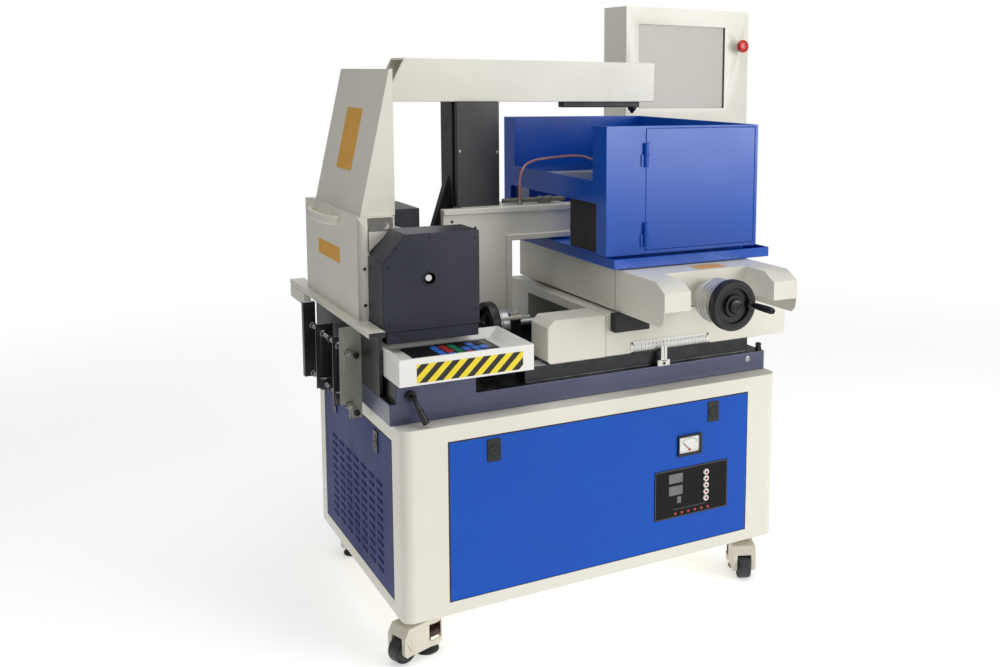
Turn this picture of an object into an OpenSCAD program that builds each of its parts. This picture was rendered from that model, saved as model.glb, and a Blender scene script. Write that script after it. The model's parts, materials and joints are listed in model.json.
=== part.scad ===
// Wire EDM machine: a castored cabinet carries a cast bed, a wire drum on a carriage,
// a column with upper and lower wire arms, and a cross table with a work tank.
// The design is laid out from the cabinet: x from its left side, y from its front, z from the floor.

/* [Cabinet] */
// Width of the cabinet
cab_w = 950; // [800:10:1200]
// Depth of the cabinet, front to back
cab_d = 680; // [640:10:900]
// Height of the cabinet without its castors
cab_h = 415; // [380:5:600]
// Radius of the cabinet's upright corners
cab_r = 26; // [10:1:40]
// Thickness of the cabinet's frame members
frame_t = 34; // [24:1:50]
// Thickness of the sheet steel of covers and tanks
sheet_t = 2.5; // [1.5:0.1:4]
// Depth of a lift-off panel
panel_t = 18; // [10:1:24]
// Gap around a lift-off panel
panel_gap = 1.5; // [0.5:0.1:4]
// Width of the front panel
front_panel_w = 761; // [600:1:780]
// Height of the front and side panels
panel_h = 348; // [300:1:360]
// Height of the panels' lower edge above the cabinet's floor
panel_z = 30; // [20:1:50]
// Width of the left and right panels
side_panel_w = 544; // [400:1:560]
// Number of louvre rows in the left panel
louvre_rows = 6; // [2:1:10]
// Number of louvre slots in a row
louvre_cols = 7; // [2:1:12]
// Width of a flush latch's turning disc
latch_d = 24; // [16:1:30]

/* [Castors] */
// Height of a levelling castor
castor_h = 95; // [90:1:120]
// Diameter of a castor wheel
wheel_d = 58; // [50:1:64]
// Tread width of a castor wheel
wheel_w = 30; // [16:1:32]
// Offset of the wheel's axle from the swivel axis
wheel_offset = 64; // [62:1:80]
// Direction that each castor's wheel points in, seen from above
castor_turn = [200, 246, 58, 120];
// Diameter of the levelling foot's pad
foot_d = 50; // [40:1:56]
// Upward travel of a levelling foot
foot_travel = 10; // [4:1:12]
// Inset of the swivel axis from the cabinet's side
castor_inset_x = 66; // [50:1:100]
// Inset of the swivel axis from the cabinet's front and back
castor_inset_y = 57; // [40:1:90]

/* [Bed and console] */
// Height of the bed casting
bed_h = 47; // [30:1:80]
// Setback of the bed from the cabinet's front
bed_setback = 50; // [20:1:80]
// Depth of the bed, front to back
bed_d = 590; // [560:1:620]
// Height of the table ways above the bed
way_h = 35.5; // [25:0.5:60]
// Width of one table way
way_w = 50; // [30:1:70]
// Width of the console tray
console_w = 298; // [240:1:298]
// Depth of the console tray
console_d = 202; // [150:1:202]
// Height of the console tray
console_h = 57; // [40:1:57]
// Height of the block under the console tray
console_block_h = 43; // [30:1:43]

/* [Wire drum] */
// Diameter of the wire drum
drum_d = 160; // [120:1:166]
// Length of the wire drum
drum_l = 160; // [120:1:165]
// Diameter of the drum's shaft
drum_shaft_d = 24; // [16:1:40]
// Distance of the drum's axis from the cabinet's left side
drum_x = 112; // [110:1:118]
// Height of the drum's axis above the carriage plate
drum_rise = 111; // [100:1:130]
// Thickness of the drum's carriage plate
carriage_t = 25.7; // [18:0.1:30]
// Width of the gear cover in front of the drum
gear_cover_w = 216; // [180:1:220]
// Height of the gear cover
gear_cover_h = 209.7; // [190:0.1:240]
// Depth of the gear cover
gear_cover_d = 107; // [70:1:107]
// Forward travel of the drum's carriage
drum_travel = 110; // [40:1:110]
// Width of the motor cover behind the drum
motor_cover_w = 152; // [130:1:158]
// Height of the motor cover behind the drum
motor_cover_h = 228; // [200:1:232]

/* [Guard] */
// Width of the lower guard
guard_w = 83; // [70:1:90]
// Depth of the lower guard, front to back
guard_d = 457; // [440:1:480]
// Height of the lower guard
guard_h = 226.7; // [210:1:260]
// Height of the upper guard
guard_up_h = 322; // [200:1:322]
// Width of the upper guard at its top
guard_top_w = 8; // [6:1:40]
// Length of the bow handle on the guard
guard_handle_l = 230; // [120:1:260]

/* [Column and arms] */
// Width of the column
column_w = 110; // [80:1:120]
// Height of the column above its base casting
column_h = 254; // [200:1:300]
// Height of the base casting above the bed
base_h = 358; // [340:1:380]
// Width of the base casting's post
base_w = 174; // [150:1:174]
// Height of the lower arm casting
lower_arm_h = 84; // [60:1:84]
// Height of the upper arm
arm_h = 102; // [80:1:120]
// Depth of the upper arm
arm_d = 102; // [80:1:110]
// Length of the upper arm along its underside
arm_l = 729; // [727:1:760]
// Lift of the upper arm on the column
arm_travel = 80; // [20:1:100]
// Diameter of a wire guide wheel
guide_d = 50; // [30:1:52]
// Distance of the wire from the cabinet's left side
wire_x = 790; // [780:1:795]
// Distance of the wire from the cabinet's front
wire_y = 461; // [455:1:465]

/* [Cross table] */
// Length of the lower slide
x_slide_l = 515; // [480:1:540]
// Depth of the lower slide, front to back
x_slide_d = 529; // [500:1:540]
// Height of the lower slide
x_slide_h = 99; // [80:1:110]
// Length of the lower slide's end covers
x_cover_l = 147; // [120:1:147]
// Travel of the table to the left
x_travel_left = 50; // [20:1:50]
// Travel of the table to the right
x_travel_right = 150; // [50:1:150]
// Travel of the table to the front and to the back
y_travel = 100; // [50:1:100]
// Width of the upper slide's cover
y_cover_w = 358; // [340:1:380]
// Height of the upper slide's cover
y_cover_h = 98; // [90:1:98]
// Reach of the cover's horns in front of its front plate
horn_reach = 114; // [60:1:120]
// Width of a horn
horn_w = 67; // [50:1:75]
// Diameter of a handwheel
handwheel_d = 116; // [100:1:116]
// Diameter of the graduated collar
collar_d = 104; // [80:1:108]
// Diameter of the lead screws
screw_d = 18; // [12:1:24]

/* [Tank] */
// Length of the tank, left to right
tank_w = 422; // [400:1:440]
// Depth of the tank, front to back
tank_d = 587; // [560:1:600]
// Height of the tank
tank_h = 299; // [250:1:310]
// Height of the opening for the lower arm
tank_port_h = 118; // [110:1:130]
// Width of the tank's door
door_w = 308; // [250:1:320]
// Thickness of the tank's door
door_t = 12; // [8:1:16]
// Height of the work table's top above the tank's floor
table_h = 149; // [130:1:160]

/* [Control box] */
// Width of the control box
box_w = 444; // [380:1:480]
// Height of the control box
box_h = 383; // [300:1:400]
// Depth of the control box
box_d = 140; // [100:1:160]
// Width of the screen
screen_w = 312; // [260:1:320]
// Height of the screen
screen_h = 252; // [200:1:256]
// Diameter of the emergency stop's mushroom
estop_d = 40; // [30:1:46]
// Travel of the emergency stop
estop_travel = 5; // [3:0.5:8]

/* [Hidden] */
$fn = 64;

// Clearances shared by the fits
run_gap = 0.05;
seat_gap = 0.3;
free_gap = 1;
// Overrun of a cut past the face that it breaks
cut = 1;
// Plate thicknesses and edges shared by several pieces
plate_t = 4;
thick_t = 12;

// Cabinet places
bottom_z = castor_h;
top_z = castor_h + cab_h;
front_panel_shift = 5;
front_panel_x = (cab_w - front_panel_w) / 2 + front_panel_shift;
side_panel_shift = 2;
side_panel_y = (cab_d - side_panel_w) / 2 + side_panel_shift;
panel_lo = bottom_z + panel_z;
panel_hi = panel_lo + panel_h;
panel_lip = 12;
cab_floor_t = 4;
cab_roof_t = 12;
rear_panel_w = front_panel_w;
rear_panel_x = (cab_w - rear_panel_w) / 2;

// Latch places, as distances from the panel's edges
latch_drop = 32;
latch_margin = 100;
latch_r = latch_d / 2;
latch_barrel_r = 8;
latch_face_t = 3;
cam_l = 30;
cam_w = 12;
cam_t = 3;
cam_back = frame_t + seat_gap + cam_t;

// Meter and display places in the front panel
meter_x = 694;
meter_z_step = 275;
meter_z = bottom_z + meter_z_step;
meter_w = 66;
meter_h = 50;
meter_hole_r = 21;
needle_l = 24;
needle_w = 1.6;
display_x = 599;
display_w = 206;
display_z_step = 101;
display_z = bottom_z + display_z_step;
display_h = 120;
bezel_t = 2.5;
button_n = 5;
button_x_step = 142;
button_x = display_x + button_x_step;
button_top_z_step = 99;
button_top_z = display_z + button_top_z_step;
button_pitch = 16.2;
button_r = 5;
button_out = 4;
button_l = button_out + bezel_t + sheet_t + seat_gap;
button_travel = 2;
window_w = 34;
window_h = 24;

// Castor places
foot_x = [castor_inset_x, cab_w - castor_inset_x, castor_inset_x, cab_w - castor_inset_x];
foot_y = [castor_inset_y, castor_inset_y, cab_d - castor_inset_y, cab_d - castor_inset_y];
mount_plate_w = 74;
race_r = 20;
race_h = 8;
housing_top = castor_h - plate_t - race_h - seat_gap;
housing_r = 32;
housing_wall = 3;
housing_roof_t = 10.7;
housing_skirt_z = 22;
window_z = 36;
fork_w_step = 28;
fork_w = wheel_w + fork_w_step;
fork_gap = 2;
fork_l_step = 16;
fork_l = wheel_offset + fork_l_step;
wheel_lift = 1;
wheel_r = wheel_d / 2;
axle_z = wheel_r + wheel_lift;
axle_r = 4;
pad_h = 14;
stem_r = 8;
thumb_r = 28;
thumb_z = 40;
thumb_t = 14;
stem_top = bottom_z - plate_t - foot_travel - 2 * free_gap;

// Bed places
bed_x0 = -8;
bed_x1_step = 4;
bed_x1 = cab_w - bed_x1_step;
bed_y0 = bed_setback;
bed_y1 = bed_y0 + bed_d;
bed_top = top_z + bed_h;
way_x0 = 300;
way_x0_rear = 420;
way_x1 = 905;
way_y_front_step = 16;
way_y_front = bed_y0 + way_y_front_step;
way_y_rear_step = 120;
way_y_rear = bed_y1 - way_y_rear_step;
way_top = bed_top + way_h;
console_x0 = 2;
console_y0 = 15;
console_z = bed_top + console_block_h;
console_top = console_z + console_h;
console_wall = 2;
console_rim = 6;
console_slope = 26;
console_sink = 17;
console_ceiling = console_top - console_sink - 3 * console_wall;
key_plate_w = 196;
key_plate_d = 112;
key_plate_t = 2.4;
key_w = 21;
key_d = 17;
key_t = 0.8;
key_cols = 6;
key_rows = 3;
bearing_x = 352;
bearing_t = 28;
bearing_w = 60;
end_bearing_x = 884;
end_bearing_t = 20;
end_bearing_w = 40;

// Lead screw places
screw_r = screw_d / 2;
x_screw_y = 295;
x_screw_z_step = 83;
x_screw_z = bed_top + x_screw_z_step;
x_screw_x0 = 318;
x_screw_x1 = 896;
x_wheel_x = 296;
wheel_rim_w = 24;

// Drum places
base_x0 = 14;
base_x1 = 224;
base_y0_step = 5;
base_y0 = console_y0 + console_d + base_y0_step;
base_y1 = bed_y1;
base_top_step = 83;
base_top = bed_top + base_top_step;
drum_way_h = 20;
drum_way_w = 30;
drum_way_inset = 16;
ledge_t = 12;
ledge_w = 36;
ledge_x0 = -28;
ledge_y0 = 119;
ledge_y1 = 830;
ledge_top_step = 138;
ledge_top = bed_top + ledge_top_step;
web_t = 8;
carriage_z = base_top + drum_way_h + seat_gap;
carriage_top = carriage_z + carriage_t;
carriage_x0_step = 2;
carriage_x0 = base_x0 + carriage_x0_step;
carriage_x1_step = 1;
carriage_x1 = base_x1 - carriage_x1_step;
carriage_y0 = 141;
carriage_y1 = 640;
drum_z = carriage_top + drum_rise;
gear_cover_x0 = 10;
gear_cover_y0 = 140;
gear_cover_chamfer_w = 50;
gear_cover_chamfer_h = 60;
gear_cover_t = 8;
crank_hole_r = 11;
drum_y0 = 262;
drum_y1 = drum_y0 + drum_l;
drum_rim_w = 10;
drum_rim_h = 3;
drum_gear_r = 45;
drum_gear_w = 20;
drum_shaft_gap = 6;
drum_gear_y_step = 50;
drum_gear_y = gear_cover_y0 + drum_gear_y_step;
motor_cover_x0 = 38;
motor_cover_y0 = 432;
motor_cover_d = 168;
motor_r = 58;
motor_l = 90;
fin_n = 18;
fin_h = 5;
fin_w = 3;

// Guard places
guard_x0 = -12;
guard_y0 = 248;
guard_z = ledge_top + seat_gap;
guard_top = guard_z + guard_h;
guard_notch_x = 14;
guard_notch_top_step = 204;
guard_notch_top = carriage_top + guard_notch_top_step;
guard_up_x0 = -1;
guard_up_x1 = 77;
guard_up_y0 = 262;
guard_up_d = 386;
guard_port_w = 56;
handle_r = 5;
handle_reach = 30;
handle_z_step = 22;
handle_z = guard_top - handle_z_step;

// Column places
base_post_x0 = 225;
base_post_y0 = 360;
base_post_d = 185;
base_plate_t = 24;
base_body_x0 = 283;
base_top_z = bed_top + base_h;
foot_flange_w = 10;
foot_flange_h = 18;
lower_arm_x1 = 560;
lower_arm_d = 120;
rim_w = 14;
rim_t = 6;
tip_x1_step = 10;
tip_x1 = wire_x + tip_x1_step;
tip_w = 42;
tip_h = 60;
tip_z_step = 14;
tip_z = base_top_z - lower_arm_h + tip_z_step;
nozzle_r = 8;
nozzle_tip_r = 3;
nozzle_h = 32;
column_x0 = 273;
column_y0 = 430;
column_d = 80;
rib_w = 48;
rib_top_z_step = 75;
rib_top_z = base_top_z + rib_top_z_step;
rib_low_z_step = 75;
rib_low_z = base_top_z - rib_low_z_step;
rib_foot_z_step = 125;
rib_foot_z = base_top_z - rib_foot_z_step;
rib_t = 26;
slide_y0 = 400;
slide_t = 13;
neck_w = 56;
neck_d = 22;
arm_x0 = 100;
arm_y0 = 410;
arm_z = base_top_z + seat_gap + column_h;
arm_top = arm_z + arm_h;
arm_slant = 52;
arm_wall = 6;
guide_w = 10;
guide_bore_r = 4;
guide_groove = 2;
guide_pocket_gap = 3;
bar_x0 = 577;
bar_x1 = 806;
bar_h = 15.7;
bar_w = 26;
conduit_r = 6.5;
conduit_rise = 10;
conduit_x0 = 390;
conduit_x1 = 559;
conduit_y = 400;
fitting_r = 9;
fitting_l = 20;
fitting_x = 500;

// Lower slide places
x_slide_x0 = 501;
x_slide_y0 = 61;
x_slide_z = way_top + seat_gap;
x_slide_top = x_slide_z + x_slide_h;
x_slide_roof_t = 24;
slide_skirt_t = 45;
x_cover_y0 = x_slide_y0;
x_cover_d = 89;
x_cover_chamfer = 16;
x_cover_toe = 6;
nut_w = 40;
nut_l = 40;
x_nut_x = 590;
y_way_w = 35;
y_way_h = 20;
y_way_x = [570, 813];

// Upper slide places
y_slide_x0 = 560;
y_slide_w = 298;
y_slide_y0 = 60;
y_slide_d = 540;
y_slide_z = x_slide_top + y_way_h + seat_gap;
y_slide_top_step = 84.9;
y_slide_top = y_slide_z + y_slide_top_step;
y_cover_x0 = 530;
y_cover_top_step = 2.2;
y_cover_top = y_slide_top - y_cover_top_step;
y_cover_z = y_cover_top - y_cover_h;
y_front_y = -35;
y_cover_y1 = 614;
y_cover_t = 2;
horn_y0 = y_front_y - horn_reach;
horn_slope_d = 39;
horn_slope_h = 21;
horn_lift = 35;
front_plate_z_step = 18;
front_plate_z = y_cover_z + front_plate_z_step;
y_screw_x = y_cover_x0 + y_cover_w / 2;
y_screw_z_step = 40;
y_screw_z = x_slide_top + y_screw_z_step;
y_nut_y = 300;
y_boss_w = 50;
y_boss_y0 = -30;
shaft_hole_r = 13;
channel_w = 58;
channel_h = 50;
y_wheel_y = -157;
hand_r = handwheel_d / 2;
hand_w = 25;
dish_d = 14;
dish_r = 40;
hub_r = 15;
collar_y0 = -128;
collar_l = 78;
crank_r = 8;
crank_l = 75;
crank_offset = 42;
crank_angle = 0;
x_crank_l = 48;

// Tank places
tray_x0 = 512;
tray_y0 = 45;
tray_w = 436;
tray_d = 635;
tray_rim_h = 23.5;
tray_z = y_slide_top + seat_gap;
tray_bar_h = 26.2;
tray_bar_w = 30;
tank_x0 = 504;
tank_y0 = 70;
tank_z = tray_z + tray_bar_h + seat_gap;
tank_top = tank_z + tank_h;
tank_x1 = tank_x0 + tank_w;
tank_y1 = tank_y0 + tank_d;
front_post_d = 68;
rear_post_d = 72;
port_front = 49;
curtain_w = 139;
curtain_t = 3;
curtain_lap = 8;
port_rear = 42;
band_h = 53;
door_x0_step = 104.5;
door_x0 = tank_x0 + door_x0_step;
door_rim = 8;
door_lid_rim = 5;
door_gap = 1;
hinge_x_step = 2.5;
hinge_x = door_x0 - hinge_x_step;
hinge_y_step = 5.5;
hinge_y = tank_y0 - hinge_y_step;
hinge_r = 5;
hinge_pin_r = 2.5;
hinge_l = 56;
hinge_rise = [19, 204];
hinge_z = [for (h = hinge_rise) tank_z + h];
leaf_t = 3;
leaf_w = 12;
pull_r = 7;
pull_l = 16;
table_rail_w = 48;
table_rail_t = 25;
table_x0 = 522;
table_x1 = 910;
table_y = [160, 590];
post_w = 30;
table_hole_r = 5;
table_hole_inset = 45;

// Side bracket places: for each plate its front, its two sides, its foot and its head
bracket_t = 4;
bracket_reach = 58;
bracket_y = [250, 327, 461, 560];
bracket_x0 = [-55, -50, -54, -bracket_reach];
bracket_x1 = [bed_x0, -13, -14, -30];
bracket_drop = [46, 69, 62, 57];
bracket_rise = [126, 89, 91, 126];
bracket_plates = [for (i = [0:3])
    [bracket_y[i], bracket_x0[i], bracket_x1[i], bed_top - bracket_drop[i], bed_top + bracket_rise[i]]];
bracket_foot_x = -36;
bracket_foot_z_step = 4;
bracket_foot_z = panel_hi + bracket_foot_z_step;
bracket_leg_y1 = 300;
rear_plate_t = 18;
rod_r = 4;
rod_x = -36;
rod_rise = [-50, 68];
rod_z = [for (h = rod_rise) bed_top + h];
rod_y1 = 590;
clamp_w = 22;
clamp_h = 26;
clamp_t = 14;
nut_r = 8;
nut_t = 7;
bolt_r = 6;
bolt_t = 4;

// Control box places
box_x0 = 946;
box_y0 = 775;
box_z_step = 550;
box_z = top_z + box_z_step;
box_wall = 3;
screen_x0_step = 43;
screen_x0 = box_x0 + screen_x0_step;
screen_z0_step = 80;
screen_z0 = box_z + screen_z0_step;
screen_sink = 9;
glass_t = 3;
estop_place_share = 49 / 89;
screen_x1 = screen_x0 + screen_w;
estop_x = screen_x1 + (box_x0 + box_w - screen_x1) * estop_place_share;
estop_z_step = 275;
estop_z = box_z + estop_z_step;
estop_base_r = 17;
estop_base_t = 14;
estop_stem_r = 8;
estop_out = 38;
mushroom_t = 16;
pole_x = box_x0 + box_w / 2;
pole_y = box_y0 + box_d / 2;
pole_r = 25;
spigot_r = 20;
spigot_l = 14;
boss_r = 32;
boss_h = 15;
beam_w = 50;
beam_z = 380;
beam_x0 = 860;
beam_plate_h = 120;
beam_plate_over = 20;

// Route of the coolant hose, chosen by hand
hose_r = 3;
hose_sides = 8;
hose_points = [[430, 385, 915.4], [430, 385, 945], [432, 386, 985], [446, 392, 1010],
    [474, 402, 1022], [510, 414, 1026], [550, 426, 1028], [590, 438, 1029], [630, 448, 1027],
    [664, 455, 1018], [690, 460, 1000], [702, 462, 970], [704, 462, 940], [704, 462, 881.4]];

// Middle of the whole machine's box
span_x0 = -bracket_reach;
span_x1 = box_x0 + box_w;
crank_root = 9;
span_y0 = y_wheel_y - crank_root - crank_l;
span_y1 = box_y0 + box_d;
mid_x = (span_x0 + span_x1) / 2;
mid_y = (span_y0 + span_y1) / 2;

// The origin lies on the floor under the middle of the machine
module placed() {
    translate([-mid_x, -mid_y, 0]) children();
}

// A box between two corners
module span(lo, hi) {
    translate(lo) cube(hi - lo);
}

// A rod along x, y or z from a start point
module rod_x(p, l, r) {
    translate(p) rotate([0, 90, 0]) cylinder(h = l, r = r);
}

module rod_y(p, l, r) {
    translate(p) rotate([-90, 0, 0]) cylinder(h = l, r = r);
}

module rod_z(p, l, r) {
    translate(p) cylinder(h = l, r = r);
}

// A profile in y and z carried along x
module along_x(x, l, points) {
    translate([x, 0, 0]) rotate([90, 0, 90]) linear_extrude(l) polygon(points);
}

// A profile in x and z carried along y
module along_y(y, l, points) {
    translate([0, y + l, 0]) rotate([90, 0, 0]) linear_extrude(l) polygon(points);
}

// A rounded rectangle carried upwards
module rounded_post(x, y, z, w, d, h, r) {
    translate([x, y, z]) linear_extrude(h) {
        translate([r, 0]) square([w - 2 * r, d]);
        translate([0, r]) square([w, d - 2 * r]);
        for (cx = [r, w - r], cy = [r, d - r]) translate([cx, cy]) circle(r);
    }
}

module cabinet_frame() {
    placed() color("#d9d6c6") {
        difference() {
            rounded_post(0, 0, bottom_z, cab_w, cab_d, cab_h, cab_r);
            span([frame_t, frame_t, bottom_z + cab_floor_t],
                [cab_w - frame_t, cab_d - frame_t, top_z - cab_roof_t]);
            panel_recess_y(front_panel_x, front_panel_w, 0, 1);
            panel_recess_y(rear_panel_x, rear_panel_w, cab_d, -1);
            panel_recess_x(0, 1);
            panel_recess_x(cab_w, -1);
        }
        for (i = [0:3]) castor_plate(foot_x[i], foot_y[i]);
    }
}

// The stepped opening that a front or back panel sits in
module panel_recess_y(x, w, face, side) {
    depth = panel_t + seat_gap;
    y0 = side > 0 ? face - cut : face - depth;
    span([x - panel_gap, y0, panel_lo - panel_gap],
        [x + w + panel_gap, y0 + depth + cut, panel_hi + panel_gap]);
    y1 = side > 0 ? face : face - frame_t - cut;
    span([x + panel_lip, y1, panel_lo + panel_lip],
        [x + w - panel_lip, y1 + frame_t + cut, panel_hi - panel_lip]);
}

// The stepped opening that a side panel sits in
module panel_recess_x(face, side) {
    depth = panel_t + seat_gap;
    x0 = side > 0 ? face - cut : face - depth;
    span([x0, side_panel_y - panel_gap, panel_lo - panel_gap],
        [x0 + depth + cut, side_panel_y + side_panel_w + panel_gap, panel_hi + panel_gap]);
    x1 = side > 0 ? face : face - frame_t - cut;
    span([x1, side_panel_y + panel_lip, panel_lo + panel_lip],
        [x1 + frame_t + cut, side_panel_y + side_panel_w - panel_lip, panel_hi - panel_lip]);
}

// The bolted plate and bearing race that a castor turns under
module castor_plate(x, y) {
    half = mount_plate_w / 2;
    difference() {
        union() {
            span([x - half, y - half, bottom_z - plate_t], [x + half, y + half, bottom_z]);
            rod_z([x, y, bottom_z - plate_t - race_h], race_h, race_r);
        }
        rod_z([x, y, bottom_z - plate_t - race_h - cut], race_h, stem_r + free_gap);
    }
}

// A pan-shaped panel, open at its back, lying in x and z
module pan_y(x, w, face, side) {
    back = face + side * panel_t;
    y0 = min(face, back);
    inner = side > 0 ? y0 + sheet_t : y0 - cut;
    difference() {
        span([x, y0, panel_lo], [x + w, y0 + panel_t, panel_hi]);
        span([x + sheet_t, inner, panel_lo + sheet_t],
            [x + w - sheet_t, inner + panel_t - sheet_t + cut, panel_hi - sheet_t]);
    }
}

// A pan-shaped panel, open at its back, lying in y and z
module pan_x(face, side) {
    back = face + side * panel_t;
    x0 = min(face, back);
    inner = side > 0 ? x0 + sheet_t : x0 - cut;
    difference() {
        span([x0, side_panel_y, panel_lo], [x0 + panel_t, side_panel_y + side_panel_w, panel_hi]);
        span([inner, side_panel_y + sheet_t, panel_lo + sheet_t],
            [inner + panel_t - sheet_t + cut, side_panel_y + side_panel_w - sheet_t,
                panel_hi - sheet_t]);
    }
}

front_latch_x = [front_panel_x + latch_margin, front_panel_x + front_panel_w - latch_margin];
side_latch_shift = 10;
side_latch_y = [side_panel_y + latch_margin + side_latch_shift, side_panel_y + side_panel_w - latch_margin];
latch_z = panel_hi - latch_drop;

module front_panel() {
    placed() color("#1f4fae") difference() {
        pan_y(front_panel_x, front_panel_w, 0, 1);
        for (x = front_latch_x) rod_y([x, -cut, latch_z], sheet_t + 2 * cut, latch_barrel_r + run_gap);
        rod_y([meter_x, -cut, meter_z - meter_h / 10], sheet_t + 2 * cut, meter_hole_r + seat_gap);
        for (i = [0:button_n - 1]) rod_y([button_x, -cut, button_top_z - i * button_pitch],
            sheet_t + 2 * cut, button_r + free_gap);
    }
}

module left_panel() {
    slot_pitch_y = side_panel_w / (louvre_cols + 2);
    slot_pitch_z = panel_h / (2 * louvre_rows + 6);
    slot_w = slot_pitch_y * 0.7;
    slot_h = slot_pitch_z * 0.3;
    placed() color("#1f4fae") difference() {
        pan_x(0, 1);
        for (y = side_latch_y) rod_x([-cut, y, latch_z], sheet_t + 2 * cut, latch_barrel_r + run_gap);
        for (i = [0:louvre_cols - 1], j = [0:louvre_rows - 1]) {
            y = side_panel_y + slot_pitch_y * (i + 1.15);
            z = panel_lo + slot_pitch_z * (j + 1.5);
            span([-cut, y, z], [sheet_t + cut, y + slot_w, z + slot_h]);
        }
    }
}

module rear_panels() {
    placed() color("#1f4fae") {
        pan_y(rear_panel_x, rear_panel_w, cab_d, -1);
        pan_x(cab_w, -1);
    }
}

// A flush latch seen from outside: disc, barrel and cam, standing along y
module latch_y(x) {
    placed() color("#1c1c1e") {
        difference() {
            rod_y([x, -latch_face_t, latch_z], latch_face_t, latch_r);
            span([x - latch_r * 0.7, -latch_face_t - cut, latch_z - latch_face_t / 2],
                [x + latch_r * 0.7, -latch_face_t / 2, latch_z + latch_face_t / 2]);
        }
        rod_y([x, 0, latch_z], cam_back, latch_barrel_r);
        span([x - cam_l, cam_back - cam_t, latch_z - cam_w / 2], [x, cam_back, latch_z + cam_w / 2]);
    }
}

// The same latch in the left panel, standing along x
module latch_x(y) {
    placed() color("#1c1c1e") {
        difference() {
            rod_x([-latch_face_t, y, latch_z], latch_face_t, latch_r);
            span([-latch_face_t - cut, y - latch_r * 0.7, latch_z - latch_face_t / 2],
                [-latch_face_t / 2, y + latch_r * 0.7, latch_z + latch_face_t / 2]);
        }
        rod_x([0, y, latch_z], cam_back, latch_barrel_r);
        span([cam_back - cam_t, y - cam_l, latch_z - cam_w / 2], [cam_back, y, latch_z + cam_w / 2]);
    }
}

module front_latch_left() {
    latch_y(front_latch_x[0]);
}

module front_latch_right() {
    latch_y(front_latch_x[1]);
}

module left_latch_front() {
    latch_x(side_latch_y[0]);
}

module left_latch_rear() {
    latch_x(side_latch_y[1]);
}

module display_bezel() {
    placed() color("#15161a") difference() {
        span([display_x, -bezel_t, display_z], [display_x + display_w, 0, display_z + display_h]);
        for (i = [0:button_n - 1]) rod_y([button_x, -bezel_t - cut, button_top_z - i * button_pitch],
            bezel_t + 2 * cut, button_r + run_gap);
        for (z = [display_z + display_h * 0.66, display_z + display_h * 0.4])
            span([display_x + display_w * 0.22, -bezel_t - cut, z],
                [display_x + display_w * 0.22 + window_w, -bezel_t / 2, z + window_h]);
    }
}

module display_button(i) {
    z = button_top_z - i * button_pitch;
    placed() color("#e8e8e4") {
        rod_y([button_x, -bezel_t - button_out, z], button_l, button_r);
        rod_y([button_x, button_l - bezel_t - button_out, z], bezel_t, button_r + free_gap * 2);
    }
}

module display_button_1() {
    display_button(0);
}

module display_button_2() {
    display_button(1);
}

module display_button_3() {
    display_button(2);
}

module display_button_4() {
    display_button(3);
}

module display_button_5() {
    display_button(4);
}

meter_case_t = 6;
meter_lip_t = 1.5;
needle_z = meter_z - meter_h * 0.24;

module meter_case() {
    half_w = meter_w / 2;
    half_h = meter_h / 2;
    placed() color("#e9e9e6") difference() {
        union() {
            span([meter_x - half_w, -meter_case_t, meter_z - half_h],
                [meter_x + half_w, 0, meter_z + half_h]);
            rod_y([meter_x, 0, meter_z - meter_h / 10], panel_t, meter_hole_r);
        }
        span([meter_x - half_w + meter_lip_t * 2, -meter_case_t - cut, meter_z - half_h * 0.6],
            [meter_x + half_w - meter_lip_t * 2, -meter_lip_t, meter_z + half_h - meter_lip_t * 2]);
    }
}

module meter_needle() {
    y0 = -meter_lip_t - seat_gap - needle_w / 2;
    placed() color("#111111") {
        rod_y([meter_x, y0 - needle_w, needle_z], needle_w * 1.5, needle_w * 1.6);
        translate([meter_x, y0 - needle_w / 2, needle_z]) rotate([0, -45, 0])
            span([-needle_w / 2, -needle_w / 4, 0], [needle_w / 2, needle_w / 4, needle_l]);
    }
}

// A frame on a castor's swivel axis whose +x points from the foot to the wheel
module castor_frame(i) {
    placed() translate([foot_x[i], foot_y[i], 0]) rotate([0, 0, castor_turn[i]]) children();
}

// A castor's swivelling housing: a round shell over the foot and a fork for the wheel
module castor_housing(i) {
    half = fork_w / 2;
    slot = wheel_w / 2 + fork_gap;
    skirt = axle_z - axle_r * 2;
    roof_z = axle_z + wheel_r + plate_t;
    cavity_top = housing_top - housing_roof_t;
    castor_frame(i) color("#dcd8c8") {
        difference() {
            union() {
                rod_z([0, 0, housing_skirt_z], housing_top - housing_skirt_z, housing_r);
                along_y(-half, fork_w, [[0, skirt], [fork_l - plate_t, skirt], [fork_l, axle_z],
                    [fork_l, roof_z], [fork_l - housing_roof_t, housing_top], [0, housing_top]]);
            }
            span([housing_r + run_gap, -slot, 0], [fork_l + cut, slot, roof_z]);
            rod_z([0, 0, 0], cavity_top, housing_r - housing_wall);
            rod_z([0, 0, 0], castor_h, stem_r + run_gap);
            span([-housing_r / 2, -housing_r - half, window_z],
                [housing_r / 2, housing_r + half, cavity_top]);
        }
        rod_y([wheel_offset, -half - free_gap, axle_z], fork_w + 2 * free_gap, axle_r);
    }
}

module castor_housing_1() {
    castor_housing(0);
}

module castor_housing_2() {
    castor_housing(1);
}

module castor_housing_3() {
    castor_housing(2);
}

module castor_housing_4() {
    castor_housing(3);
}

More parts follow.
